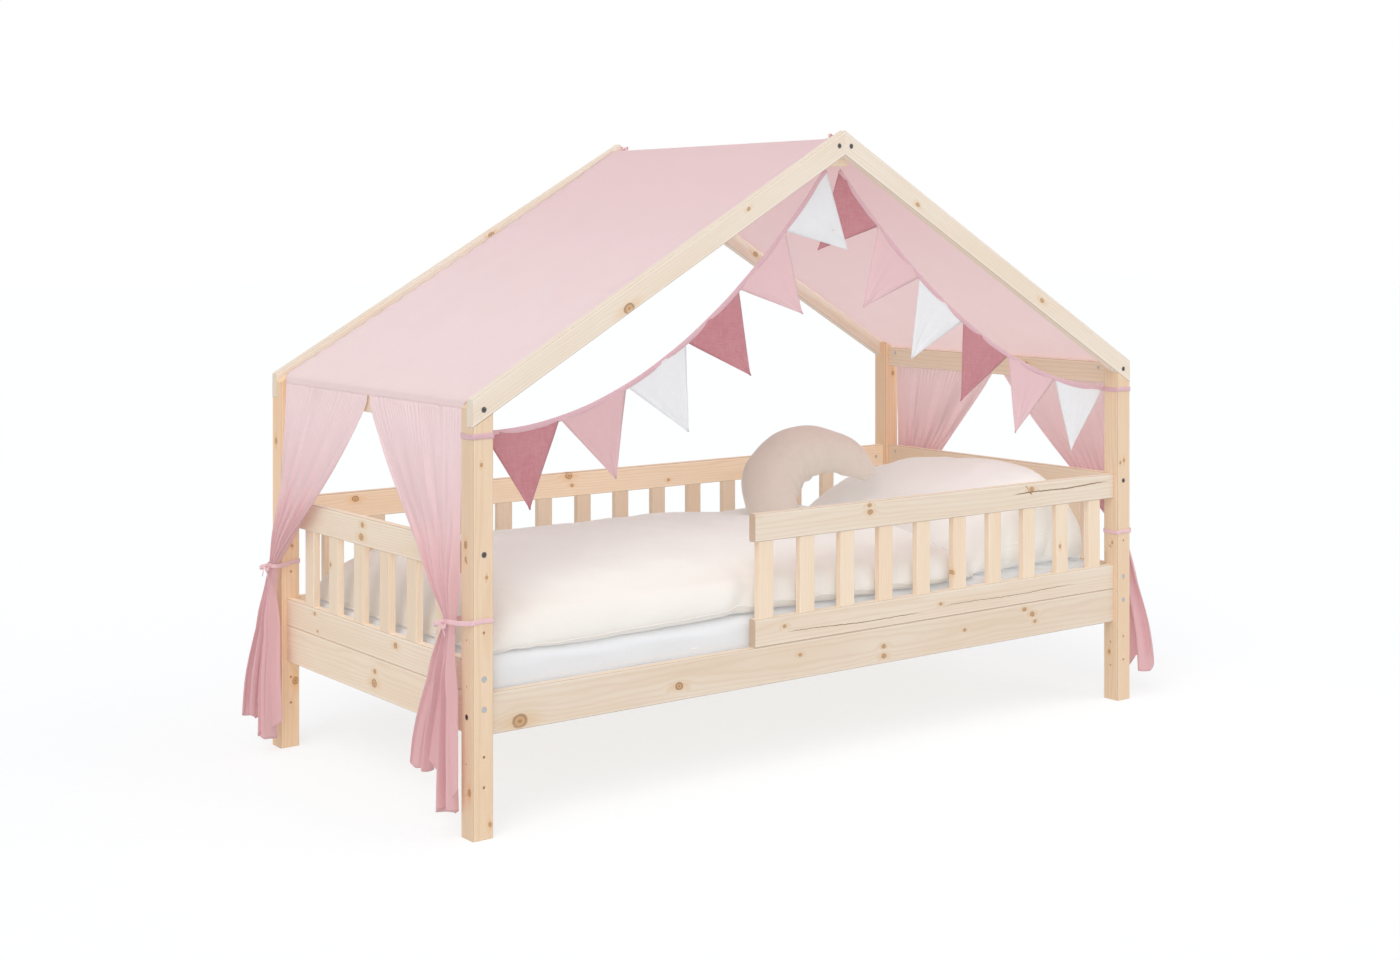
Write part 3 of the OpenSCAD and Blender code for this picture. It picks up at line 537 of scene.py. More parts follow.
finish_wood()
finish_hardware()
wear("base_straps", cloth("webbing", (0.72, 0.70, 0.66), (0.5, 0.48, 0.45), 0.0014, weave_at="Object",
                          depth=0.0006))

# ------------------------------------------------------------------ camera, floor and light


def look():
    """Camera at the reference viewing place, level, with the picture shifted down."""
    camera = bpy.data.objects.new("camera", bpy.data.cameras.new("camera"))
    bpy.context.scene.collection.objects.link(camera)
    camera.location = (-3.121, -4.015, 1.2795)
    camera.rotation_euler = (math.radians(90), 0, math.radians(-37.23))
    camera.data.sensor_width = 36
    camera.data.lens = 49.87
    camera.data.shift_y = -0.177
    bpy.context.scene.camera = camera


def sun(name, towards, spread, strength, shadows):
    light = bpy.data.lights.new(name, "SUN")
    light.angle = math.radians(spread)
    light.energy = strength
    light.use_shadow = shadows
    made = bpy.data.objects.new(name, light)
    made.rotation_euler = Vector(towards).to_track_quat("-Z", "Y").to_euler()
    bpy.context.scene.collection.objects.link(made)


def by_ray(tree, others, camera):
    """A strength that camera rays see differently from the light that falls on the object."""
    seen = tree.nodes.new("ShaderNodeLightPath").outputs["Is Camera Ray"]
    strength = tree.nodes.new("ShaderNodeMapRange")
    strength.inputs["To Min"].default_value = others
    strength.inputs["To Max"].default_value = camera
    tree.links.new(seen, strength.inputs["Value"])
    return strength.outputs[0]


def studio():
    """White floor that glows like a lit sweep, an even white surround, a soft key light, and
    fill lights without shadows."""
    s = Shader("floor")
    grain = s.noise(s.place(), 40.0, 2.0)
    surface = s.node("BsdfPrincipled", {
        "Base Color": s.mix(s.ramp(grain, 0.2, 0.8), (0.430, 0.44, 0.452), (0.440, 0.45, 0.462)),
        "Roughness": 0.95,
        "Specular IOR Level": 0.0,
        "Emission Color": (1.0, 1.0, 1.0),
        "Emission Strength": by_ray(s.tree, 0.20, 0.50),
    }).outputs[0]
    mesh = bpy.data.meshes.new("floor")
    mesh.from_pydata([(-40, -40, 0), (40, -40, 0), (40, 40, 0), (-40, 40, 0)], [], [(0, 1, 2, 3)])
    floor = bpy.data.objects.new("floor", mesh)
    mesh.materials.append(s.finish(surface))
    bpy.context.scene.collection.objects.link(floor)
    world = bpy.data.worlds.new("studio")
    world.use_nodes = True
    background = world.node_tree.nodes["Background"]
    background.inputs["Color"].default_value = (1, 1, 1, 1)
    world.node_tree.links.new(by_ray(world.node_tree, 0.45, 1.0), background.inputs["Strength"])
    bpy.context.scene.world = world
    sun("key", (0.70, 0.42, -0.85), 40, 0.85, True)
    sun("fill_front", (0.62, 0.75, -0.20), 60, 1.20, False)
    sun("fill_right", (-0.65, 0.60, -0.45), 60, 0.75, False)
    sun("fill_below", (0.55, 0.15, 0.80), 60, 0.75, False)
    sun("fill_top", (0.05, 0.10, -1.0), 60, 0.90, False)
    bpy.context.scene.view_settings.view_transform = "Standard"


look()
studio()

# ------------------------------------------------------------------ making soft pieces


def add_piece(name, points, faces, material, slot, body="root", uv=None):
    """A smooth mesh piece that rides on a body. uv holds one flat place per vertex."""
    mesh = bpy.data.meshes.new(name)
    mesh.from_pydata(np.asarray(points, float).reshape(-1, 3).tolist(), [],
                     [list(map(int, f)) for f in faces])
    mesh.materials.append(material)
    mesh.shade_smooth()
    if uv is not None:
        corners = np.zeros(len(mesh.loops), np.int32)
        mesh.loops.foreach_get("vertex_index", corners)
        layer = mesh.uv_layers.new(name="flat")
        layer.uv.foreach_set("vector", np.asarray(uv, np.float32).reshape(-1, 2)[corners].ravel())
    made = bpy.data.objects.new(name, mesh)
    bpy.context.scene.collection.objects.link(made)
    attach(made, body)
    return made


def grid_faces(rows, columns, closed=False, start=0):
    """Quads of a grid of points, numbered row by row."""
    last = columns if closed else columns - 1
    return [(start + r * columns + c, start + r * columns + (c + 1) % columns,
             start + (r + 1) * columns + (c + 1) % columns, start + (r + 1) * columns + c)
            for r in range(rows - 1) for c in range(last)]


def flat_places(grid):
    """Flat cloth places of a grid of points: running lengths along its rows and columns."""
    across = np.cumsum(np.linalg.norm(np.diff(grid, axis=1, prepend=grid[:, :1]), axis=2), axis=1)
    down = np.cumsum(np.linalg.norm(np.diff(grid, axis=0, prepend=grid[:1]), axis=2), axis=0)
    return np.stack([across, down], -1)


def add_sheet(name, grid, material, slot, thickness=0.0008, body="root", flip=False):
    """A thin cloth surface through a grid of points."""
    faces = grid_faces(*grid.shape[:2])
    if flip:
        faces = [f[::-1] for f in faces]
    made = add_piece(name, grid, faces, material, slot, body, flat_places(grid))
    shell = made.modifiers.new("thickness", "SOLIDIFY")
    shell.thickness = thickness
    shell.offset = 0
    return made


def sweep(path, across, outward, width, thickness, lens=0.25):
    """Points and faces of a flat band with rounded edges along a path of places.

    across is the direction of its width and outward of its thickness, at every place."""
    section = [(-0.5, 0), (-0.44, 0.5 - lens), (-0.2, 0.5), (0.2, 0.5), (0.44, 0.5 - lens),
               (0.5, 0), (0.44, lens - 0.5), (0.2, -0.5), (-0.2, -0.5), (-0.44, lens - 0.5)]
    points = np.concatenate([
        (path + a * width * across + b * thickness * outward)[:, None] for a, b in section], 1)
    rings = len(path)
    faces = grid_faces(rings, len(section), closed=True)
    return points, faces


def close_ends(points, faces):
    """The same band with its two ends closed."""
    rings, n = points.shape[:2]
    return faces + [tuple(range(n))[::-1], tuple(range((rings - 1) * n, rings * n))]


def loop_band(path, width, thickness, up=(0, 0, 1)):
    """A band whose path closes on itself, its width along up."""
    up = np.broadcast_to(np.array(up, float), path.shape)
    tangent = np.roll(path, -1, 0) - np.roll(path, 1, 0)
    outward = np.cross(tangent, up)
    outward /= np.linalg.norm(outward, axis=1)[:, None]
    points, faces = sweep(path, up, outward, width, thickness)
    rings, n = points.shape[:2]
    faces += [((rings - 1) * n + c, (rings - 1) * n + (c + 1) % n, (c + 1) % n, c) for c in range(n)]
    return points, faces


def free_band(path, width, thickness, up=(0, 0, 1)):
    """A band with two closed ends."""
    up = np.broadcast_to(np.array(up, float), path.shape)
    tangent = np.gradient(path, axis=0)
    outward = np.cross(tangent, up)
    outward /= np.maximum(np.linalg.norm(outward, axis=1), 1e-9)[:, None]
    points, faces = sweep(path, up, outward, width, thickness)
    return points, close_ends(points, faces)


def joined(parts):
    """Several (points, faces) as one."""
    points, faces, count = [], [], 0
    for part_points, part_faces in parts:
        flat = np.asarray(part_points, float).reshape(-1, 3)
        points.append(flat)
        faces += [tuple(i + count for i in f) for f in part_faces]
        count += len(flat)
    return np.concatenate(points), faces


def outward_faces(made):
    """Turns the faces of a closed mesh outward."""
    b = bmesh.new()
    b.from_mesh(made.data)
    bmesh.ops.recalc_face_normals(b, faces=b.faces)
    b.to_mesh(made.data)
    b.free()


def stitches(path, normal, length=0.0028, pitch=0.0042, radius=0.00032):
    """A row of sewn stitches along a path of places, standing a little proud along normal."""
    step = np.linalg.norm(np.diff(path, axis=0), axis=1)
    run = np.concatenate([[0], np.cumsum(step)])
    middles = np.arange(pitch, run[-1] - pitch, pitch)
    parts = []
    for middle in middles:
        a, b = (np.array([np.interp(m, run, path[:, i]) for i in range(3)])
                for m in (middle - length / 2, middle + length / 2))
        side = np.cross(b - a, normal)
        side *= radius / np.linalg.norm(side)
        lift = np.array(normal) * radius
        ring_a = [a - lift, b - lift]
        belly = [(a + b) / 2 + side, (a + b) / 2 + lift * 1.6, (a + b) / 2 - side]
        points = np.array([ring_a[0], *belly, ring_a[1]])
        parts.append((points, [(0, 1, 2), (0, 2, 3), (4, 2, 1), (4, 3, 2), (0, 3, 4, 1)]))
    return joined(parts)


def smooth_noise(points, scale, seed=0.0):
    """Noise from -1 to 1 at every point."""
    flat = np.asarray(points, float).reshape(-1, 3)
    values = [noise.noise(Vector(p) * scale + Vector((seed, seed * 1.7, -seed))) for p in flat]
    return np.array(values).reshape(np.shape(points)[:-1])


def ease(x, low=0.0, high=1.0):
    """Smooth step from 0 at low to 1 at high."""
    t = np.clip((np.asarray(x, float) - low) / (high - low), 0, 1)
    return t * t * (3 - 2 * t)


# ------------------------------------------------------------------ fabrics

# the roof cloth deepens towards the ridge: painted shade
ROOF_CLOTH = cloth("roof_cotton", (0.870, 0.760, 0.765), (0.83, 0.67, 0.68), 0.0007, through=0.40,
                   fuzz=0.25,
                   low=(0.98, 1.50, (0.82, 0.655, 0.67)))
# the curtain cloth deepens from the top down towards the tails: painted shade
CURTAIN_CLOTH = cloth("curtain_cotton", (0.880, 0.745, 0.755), (0.83, 0.65, 0.66), 0.0007,
                      through=0.30, fuzz=0.30,
                      low=(0.92, 0.42, (0.74, 0.49, 0.505)))
RIBBON_CLOTH = cloth("ribbon_cotton", (0.74, 0.50, 0.52), (0.62, 0.38, 0.41), 0.0006,
                     roughness=0.55, sheen=0.5)
TAPE_CLOTH = cloth("bias_tape", (0.66, 0.42, 0.46), (0.55, 0.33, 0.37), 0.0006, roughness=0.6, sheen=0.4)
ROSE_CLOTH = cloth("rose_cotton", (0.51, 0.195, 0.22), (0.61, 0.32, 0.345), 0.0008, through=0.12, fuzz=0.55)
PINK_CLOTH = cloth("pink_cotton", (0.70, 0.46, 0.475), (0.74, 0.52, 0.54), 0.0008, through=0.18, fuzz=0.5)
PALE_CLOTH = cloth("pale_pink_cotton", (0.77, 0.54, 0.56), (0.78, 0.58, 0.60), 0.0008,
                   through=0.22, fuzz=0.5)
WHITE_CLOTH = cloth("white_cotton", (0.83, 0.83, 0.84), (0.76, 0.76, 0.78), 0.0008, through=0.25, fuzz=0.5)
SHEET_CLOTH = cloth("sheet_cotton", (0.70, 0.705, 0.715), (0.66, 0.665, 0.685), 0.0006, fuzz=0.3,
                    crease=0.10,
                    weave_at="Object")
# the duvet cover deepens towards the mattress: painted shade
DUVET_CLOTH = cloth("duvet_cotton", (0.87, 0.89, 0.865), (0.83, 0.84, 0.81), 0.0006, fuzz=0.3, crease=0.16,
                    weave_at="Object", low=(0.53, 0.45, (0.76, 0.73, 0.69)))
PILLOW_CLOTH = cloth("pillow_cotton", (0.88, 0.88, 0.855), (0.84, 0.835, 0.80), 0.0006, fuzz=0.3,
                     crease=0.16,
                     weave_at="Object")
JERSEY_CLOTH = cloth("cushion_jersey", (0.73, 0.66, 0.59), (0.66, 0.58, 0.51), 0.0011, fuzz=0.45,
                     crease=0.08,
                     weave_at="Object", depth=0.0005)
THREAD = cloth("thread", (0.70, 0.46, 0.49), (0.6, 0.38, 0.4), 0.0004, weave_at="Object")

# ------------------------------------------------------------------ roof sheet


SLOPE_STEPS = 110


def roof_line(y):
    """Places of the roof sheet from the left seam over the ridge to the right seam, at one y."""
    skin = 0.0012
    sag = 0.0040
    band_x = SHEET_EDGE_X - 0.0022
    half = [(band_x, SEAM_Z + 0.0005), (band_x, SEAM_Z + 0.006), (band_x, SHEET_EDGE_Z - 0.0075),
            (band_x + 0.0006, SHEET_EDGE_Z - 0.0035), (SHEET_EDGE_X + 0.0015, SHEET_EDGE_Z - 0.0008)]
    ridge_x = BED_L / 2 - RIDGE_W / 2
    for i in range(1, SLOPE_STEPS + 1):
        u = i / SLOPE_STEPS
        x = SHEET_EDGE_X + (ridge_x - SHEET_EDGE_X) * u
        z = SHEET_EDGE_Z + (RIDGE_TOP + 0.0028 - SHEET_EDGE_Z) * u
        taut = 4 * u * (1 - u)
        wave = math.sin(y * 23 + 1.3) * 0.0010 + math.sin(y * 41 + u * 3.0) * 0.0006
        half.append((x, z - skin - taut * (sag - wave)))
    left = np.array(half)
    right = left[::-1].copy()
    right[:, 0] = BED_L - right[:, 0]
    crown = [(ridge_x + RIDGE_W * f, RIDGE_TOP + 0.0028 - skin + 0.0003) for f in (0.25, 0.5, 0.75)]
    line = np.concatenate([left, crown, right])
    return np.column_stack([line[:, 0], np.full(len(line), y), line[:, 1]])


def roof_sheet():
    """The sheet with scalloped free edges, its hems, the eave seam bands and their stitching."""
    ys = np.linspace(SHEET_Y, BED_W - SHEET_Y, 81)
    grid = np.stack([roof_line(y) for y in ys], 0)
    reach = grid[..., 2] - SEAM_Z
    free = ease(reach, 0.01, 0.10) * ease(RIDGE_TOP - grid[..., 2], 0.0, 0.10)
    side = np.abs(np.linspace(-1, 1, len(ys)))[:, None] ** 6
    inward = np.sign(BED_W / 2 - grid[..., 1])
    grid[..., 1] += inward * side * free * (0.0035 + 0.0015 * np.sin(grid[..., 0] * 9))
    narrow = 1 - ease(reach, 0.012, 0.03)  # the bands end beside the posts
    middle = BED_W / 2
    between_posts = (middle - POST - 0.006) / (middle - SHEET_Y)
    grid[..., 1] = middle + (grid[..., 1] - middle) * (1 - narrow * (1 - between_posts))
    run = grid[..., 0] * 1.15
    to_edge = np.minimum(grid[..., 1] - SHEET_Y, BED_W - SHEET_Y - grid[..., 1])
    pucker = 1 + np.sin(run * 2 * np.pi / 0.055 + 2.6 * np.sin(run * 5) + 0.4 * np.sin(grid[..., 1] * 9))
    grid[..., 2] -= 0.0020 * pucker * np.exp(-to_edge / 0.045) * free
    sheet = add_sheet("roof_sheet", from_corner(grid), ROOF_CLOTH, "canopy_voile", 0.0009)
    hem_parts, seam_parts = [], []
    for row, step in ((0, 1), (len(ys) - 1, -1)):
        edge = grid[row, 5:-5]
        tangent = np.gradient(edge, axis=0)
        tangent /= np.linalg.norm(tangent, axis=1)[:, None]
        across = np.tile([0.0, float(step), 0.0], (len(edge), 1))
        outward = np.cross(tangent, across) * step
        fold = edge + across * 0.006 - outward * 0.0010
        points, faces = sweep(fold, across, outward, 0.012, 0.0009)
        hem_parts.append((from_corner(points), close_ends(points, faces)))
        for half in (slice(0, SLOPE_STEPS), slice(SLOPE_STEPS + 2, None)):
            line = edge[half] + across[half] * 0.011 + outward[half] * 0.0005
            points, faces = stitches(line, outward[half][SLOPE_STEPS // 2])
            seam_parts.append((from_corner(points), faces))
    hem = add_piece("roof_hem", *joined(hem_parts), ROOF_CLOTH, "canopy_voile")
    for right in (0, 1):
        ys_seam = np.linspace(POST + 0.010, BED_W - POST - 0.010, 120)
        line = np.column_stack([np.full(120, SHEET_EDGE_X - 0.0028), ys_seam, np.full(120, SEAM_Z + 0.004)])
        points, faces = stitches(line, (-1.0, 0.0, 0.0))
        seam_parts.append((from_corner(points, right), faces))
    seam = add_piece("roof_stitches", *joined(seam_parts), THREAD, "canopy_voile")
    for made in (hem, seam):
        outward_faces(made)
    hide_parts("canopy")


# ------------------------------------------------------------------ curtains


def curtain_grid(tail, seed, across=150, down_top=70, down_tail=60):
    """Places of a curtain in corner coordinates: gathered at the seam, bound at the waist
    beside the post, and opening again into a tail of two lobes. tail is (y_from, y_to, x_from,
    x_to, split, z of the first lobe, z of the second lobe)."""
    y_from, y_to, x_from, x_to, split, low_first, low_second = tail
    u = np.linspace(0, 1, across)[None, :]
    wander = np.interp(u[0], np.linspace(0, 1, 12), np.random.default_rng(seed).uniform(-1, 1, 12))[None, :]
    fine = np.sin(2 * np.pi * (31 * u + 0.9 * wander))
    pleat = np.sin(2 * np.pi * (8.5 * u + 0.45 * wander))
    wide = np.sin(2 * np.pi * (2.6 * u + 0.3 * wander + 0.2))

    # from the seam to the waist, t from 0 to 1
    t = np.linspace(0, 1, down_top)[:, None]
    start_y, end_y = POST + 0.008, BED_W / 2 - 0.004
    top_y = start_y + (end_y - start_y) * u
    waist_y = WAIST.y + WAIST_R * 0.60 * (2 * u - 1)
    slack = ease(u, 0.55, 1.0) * 0.035
    pull = np.clip((t - slack) / (1 - slack), 0, 1) ** (1.02 + 0.10 * u)
    y = top_y + (waist_y - top_y) * pull
    z = SEAM_Z + 0.002 + (TIE_H - SEAM_Z - 0.002) * t + 0 * u
    x = 0.0115 + (WAIST.x - 0.0115) * t ** 1.15
    gathers = 0.0017 * fine * np.exp(-t / 0.13)
    bound = ease(t, 0.30, 1.0) ** 1.6
    drape = ((0.0150 * bound - 0.0065 * ease(t, 0.80, 1.0)) * pleat
             + 0.0040 * ease(t, 0.03, 0.4) * (1 - 0.6 * bound) * wide)
    hollow = -0.008 * np.sin(np.pi * t) * np.sin(np.pi * u) ** 0.7
    x = x + gathers + drape + hollow - 0.003 * t
    x = np.where(z > 0.858, np.minimum(x, 0.0135), x)
    roll = 0.006 * ease(u, 0.965, 1.0) * ease(t, 0.1, 0.3)
    x = x - roll * np.sin(np.pi * ease(u, 0.965, 1.0))
    upper = np.stack([x, y + 0 * x, z + 0 * x], -1)

    # from the waist to the hem, s from 0 to 1
    s = np.linspace(0, 1, down_tail)[1:, None]
    turn = 2 * np.pi * (3.8 * u + 0.22 * wander + 0.10 * s)
    opening = ease(s, -0.15, 0.95) * 0.65 + 0.35 * s
    share = u + 0.050 * np.sin(turn) * ease(s, 0.1, 0.6)
    side = ease(u, split - 0.03, split + 0.05)
    spread_y = (y_from + (y_to - y_from) * share
                + (0.030 * side - 0.015) * ease(s, 0.4, 1.0) * (0.6 - abs(u - split)))
    y = waist_y + (spread_y - waist_y) * opening
    lobe = np.where(u < split, u / split, (u - split) / (1 - split))
    hem = low_first + (low_second - low_first) * side + 0.050 * np.abs(2 * lobe - 1) ** 3 + 0.004 * wander
    z = TIE_H + (hem - TIE_H) * s
    x_middle = WAIST.x + (x_from + (x_to - x_from) * u - WAIST.x) * ease(s, 0.0, 0.8)
    open_folds = ease(s, 0.0, 0.32)
    folds = (0.0110 + 0.0085 * s) * open_folds * np.cos(turn)
    x = x_middle - 0.003 + folds + 0.0085 * (1 - open_folds) * pleat + 0.0006 * open_folds * pleat
    bulge = -0.006 * np.sin(np.pi * np.minimum(s * 2.4, 1.0))
    lower = np.stack([x + bulge, y + 0 * x, z + 0 * x], -1)
    return np.concatenate([upper, lower])


def curtains():
    """The four tied-back curtains. The tails of the front left and back right ones hang beside
    their post, and the other two in front of it."""
    beside = (0.020, 0.190, -0.024, -0.026, 0.54, 0.052, 0.122)
    outside = (-0.030, 0.100, -0.050, -0.036, 0.45, 0.072, 0.036)
    for seed, (corner_name, (right, back)) in enumerate(CORNERS.items()):
        tail = beside if right == back else outside
        grid = from_corner(curtain_grid(tail, 40 + seed), right, back)
        name = "curtain_" + corner_name
        piece = add_sheet(name + "_cloth", grid, CURTAIN_CLOTH, "curtain_voile", 0.0007)
        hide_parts(name)


# ------------------------------------------------------------------ ribbons


def rounded_hull(circles, steps=20):
    """Places round a set of discs (x, y, radius), as a taut band would run."""
    points = []
    for x, y, radius in circles:
        for i in range(steps):
            a = 2 * math.pi * i / steps
            points.append((x + radius * math.cos(a), y + radius * math.sin(a)))
    order = convex_hull_2d([Vector(p) for p in points])
    return np.array([points[i] for i in order])


def resampled(path, count, closed=False):
    """Evenly spaced places along a path."""
    if closed:
        path = np.concatenate([path, path[:1]])
    run = np.concatenate([[0], np.cumsum(np.linalg.norm(np.diff(path, axis=0), axis=1))])
    at = np.linspace(0, run[-1], count + 1 if closed else count)
    even = np.column_stack([np.interp(at, run, path[:, i]) for i in range(path.shape[1])])
    return even[:-1] if closed else even


def bow(knot, loop_l, loop_w, end_l, out, side, ribbon_w, droop):
    """Two loops, two ends and a wrapped knot. out points away from what is tied and side
    along the bow; droop lowers the tips."""
    knot, out, side = (np.array(v, float) for v in (knot, out, side))
    up = np.cross(side, out)
    up /= np.linalg.norm(up)
    if up[2] < 0:
        up = -up
    parts = []
    for way in (-1, 1):
        a = np.linspace(0.02, 0.98, 26)
        reach = np.sin(np.pi * a) ** 0.8 * loop_l
        open_ = np.sin(2 * np.pi * a) * loop_w
        path = (knot + np.outer(reach, way * side * 0.93 + out * 0.36) + np.outer(open_, out)
                - np.outer(reach ** 2 / loop_l * droop, up))
        parts.append(free_band(path, ribbon_w, 0.0011, up))
        b = np.linspace(0, 1, 16)
        path = (knot + np.outer(b * end_l, way * side * 0.55 + out * 0.25)
                + np.outer(0.003 * np.sin(b * 5), out) - np.outer(b ** 1.5 * end_l * (0.55 + droop), up))
        parts.append(free_band(path, ribbon_w * 0.9, 0.0010, up * 0.6 + way * side * 0.4))
    ring = np.linspace(0, 2 * np.pi, 18, endpoint=False)
    for shift, radius in ((-0.22, 0.0034), (0.08, 0.0040), (0.32, 0.0033)):
        path = (knot + out * 0.001 + np.outer(np.cos(ring) * radius, side)
                + np.outer(np.sin(ring) * radius, out))
        path = path + up * shift * ribbon_w
        parts.append(loop_band(path, ribbon_w * 0.5, 0.0022, up))
    return joined(parts)


def tie_backs():
    """A ribbon round each post and the curtain's waist, with a bow on the outside."""
    gap, thickness = 0.0013, 0.0011
    knot_x = WAIST.x - WAIST_R - 0.0015 - 0.0035
    for corner_name, (right, back) in CORNERS.items():
        post = [(x, y, gap + 0.001) for x in (0.001, POST - 0.001) for y in (0.001, POST - 0.001)]
        outline = rounded_hull(post + [(WAIST.x, WAIST.y, WAIST_R + gap)])
        path = resampled(outline, 150, closed=True)
        wave = 0.0012 * np.sin(np.arange(150) / 150 * 6 * np.pi)
        near = ease(-path[:, 0], -0.02, 0.03)
        path = np.column_stack([path, TIE_H + wave - 0.002 * near])
        bow_parts = bow((knot_x, WAIST.y, TIE_H - 0.002), 0.019, 0.0060, 0.030, (-1, 0, 0), (0, 1, 0),
                        TAPE_W * 0.72, 0.35)
        points, faces = joined([loop_band(path, TAPE_W * 0.82, thickness), bow_parts])
        made = add_piece("tie_" + corner_name + "_ribbon", from_corner(points, right, back), faces,
                         RIBBON_CLOTH, "ribbon")
        outward_faces(made)
        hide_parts("tie_" + corner_name)


def ridge_bows():
    """Ribbons sewn to the roof sheet at the ridge, tied over the beam's ends."""
    parts = []
    for back in (0, 1):
        y = SHEET_Y + 0.014
        knot = (BED_L / 2, y, RIDGE_TOP + 0.0028 + 0.0042)
        points, faces = bow(knot, 0.014, 0.0040, 0.017, (0, 0.15, 1), (1, 0, 0), TAPE_W * 0.6, 0.0)
        points[:, 2] = np.maximum(points[:, 2], RIDGE_TOP + 0.0032)
        parts.append((from_corner(points, 0, back), faces))
        strap = np.array([(BED_L / 2 + dx, y, RIDGE_TOP + 0.0034) for dx in np.linspace(-0.024, 0.024, 12)])
        points, faces = free_band(strap, TAPE_W * 0.7, 0.0009, (0, 1, 0))
        parts.append((from_corner(points, 0, back), faces))
    made = add_piece("ridge_bows", *joined(parts), RIBBON_CLOTH, "ribbon")
    outward_faces(made)
    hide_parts("ridge_ties")


# ------------------------------------------------------------------ bunting

BUNTING_Y = 0.045
BUNTING_LAP = 0.004
BUNTING_LOW = 0.856
BUNTING_HIGH = RIDGE_BOTTOM - 0.005
BUNTING_SAG = (0.148, 0.124)  # left and right half
PENNANTS = 6
PENNANT_H = 0.190


def bunting_point(u, right):
    """Hanging line of one half of the bunting, u from 0 at the post to 1 at the ridge."""
    s = 1.228 * u - 0.228 * u * u
    run = BED_L / 2 - POST - RIDGE_W / 2 - 0.004
    x = POST + 0.004 + run * s
    z = BUNTING_LOW + (BUNTING_HIGH - BUNTING_LOW) * s - 4 * BUNTING_SAG[right] * s * (1 - s)
    return np.stack([x, z], -1)


def pennant_grid(place, right, seed, rows=22, columns=19):
    """A triangular pennant in corner coordinates, sewn into the tape at one of the places."""
    a, b = bunting_point(np.array([place / PENNANTS, (place + 1) / PENNANTS]), right)
    length = np.linalg.norm(b - a)
    along = (b - a) / length
    down = np.array([along[1], -along[0]])
    v = np.linspace(0, 1, rows)[:, None]
    u = np.linspace(0, 1, columns)[None, :]
    top = TAPE_W * 0.35
    depth = top + (PENNANT_H - top) * v
    share = np.clip(1 - (depth - TAPE_W) / (PENNANT_H - TAPE_W), 0.012, 1)
    where = length / 2 + (length - 0.006) * (u - 0.5) * share
    line = bunting_point(place / PENNANTS + where / length / PENNANTS, right)
    chord = a + where[..., None] * along
    belly = np.einsum("rcx,x->rc", line - chord, down) * (1 - ease(depth, 0.0, 0.09))
    plane = a + where[..., None] * along + (depth + belly)[..., None] * down
    shape = np.random.default_rng(seed)
    curl, lean, phase = shape.uniform(0.4, 1.0), shape.uniform(-1, 1), shape.uniform(0, 6)
    y = (0.0035 * lean * v ** 1.6 + 0.004 * curl * v * (2 * u - 1) ** 2 * share
         + 0.0012 * np.sin(9 * u + 4 * v + phase) * v ** 0.6
         + 0.0006 * np.sin(27 * u - 2 * v + phase) * ease(v, 0.0, 0.4))
    grid = np.stack([plane[..., 0], np.zeros_like(where), plane[..., 1]], -1)
    grid[..., 1] = y
    return grid


def bunting():
    """The tape on both halves and round the front posts, its stitching and twelve pennants."""
    palettes = ((ROSE_CLOTH, PINK_CLOTH, WHITE_CLOTH, ROSE_CLOTH, PALE_CLOTH, WHITE_CLOTH),
                (WHITE_CLOTH, PALE_CLOTH, ROSE_CLOTH, WHITE_CLOTH, PALE_CLOTH, ROSE_CLOTH))
    nodes = {ROSE_CLOTH: "pennants_rose", PINK_CLOTH: "pennants_pink", PALE_CLOTH: "pennants_pink",
             WHITE_CLOTH: "pennants_white"}
    slots = {"pennants_rose": "felt_rose", "pennants_pink": "felt_pink", "pennants_white": "felt_white"}
    tape_parts, stitch_parts = [], []
    for right in (0, 1):
        y = BUNTING_Y + right * BUNTING_LAP
        u = np.linspace(0, 1, 150)
        line = bunting_point(u, right)
        tangent = np.gradient(line, axis=0)
        tangent /= np.linalg.norm(tangent, axis=1)[:, None]
        down = np.column_stack([tangent[:, 1], np.zeros(150), -tangent[:, 0]])
        sway = 0.0006 * np.sin(u * 47)
        path = np.column_stack([line[:, 0], y + sway, line[:, 1]]) + down * TAPE_W / 2
        outward = np.tile([0.0, 1.0, 0.0], (150, 1))
        points, faces = sweep(path, down, outward, TAPE_W, 0.0021)
        tape_parts.append((from_corner(points, right), close_ends(points, faces)))
        for face in (-1, 1):
            seam = path + down * (TAPE_W * 0.36) + outward * face * 0.00085
            points, faces = stitches(seam, (0.0, float(face), 0.0))
            stitch_parts.append((from_corner(points, right), faces))
        post = [(x, y, 0.0022) for x in (0.001, POST - 0.001) for y in (0.001, POST - 0.001)]
        around = resampled(rounded_hull(post), 90, closed=True)
        wave = 0.0008 * np.sin(np.arange(90) / 7)
        drop = np.column_stack([around, np.full(90, BUNTING_LOW - TAPE_W / 2) + wave])
        points, faces = loop_band(drop, TAPE_W * 0.9, 0.0014)
        tape_parts.append((from_corner(points, right), faces))
    tape = add_piece("bunting_bias_tape", *joined(tape_parts), TAPE_CLOTH, "bias_tape")
    thread = add_piece("bunting_stitches", *joined(stitch_parts), THREAD, "bias_tape")
    for made in (tape, thread):
        outward_faces(made)
    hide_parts("bunting_tape")
    for right in (0, 1):
        for place in range(PENNANTS):
            fabric = palettes[right][place]
            grid = pennant_grid(place, right, 100 + 10 * right + place)
            grid[..., 1] += BUNTING_Y + right * BUNTING_LAP
            node = nodes[fabric]
            name = f"pennant_{'right' if right else 'left'}_{place + 1}"
            made = add_sheet(name, from_corner(grid, right), fabric, slots[node], 0.0009)
            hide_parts(node)


roof_sheet()
curtains()
tie_backs()
ridge_bows()
bunting()

# ------------------------------------------------------------------ bedding


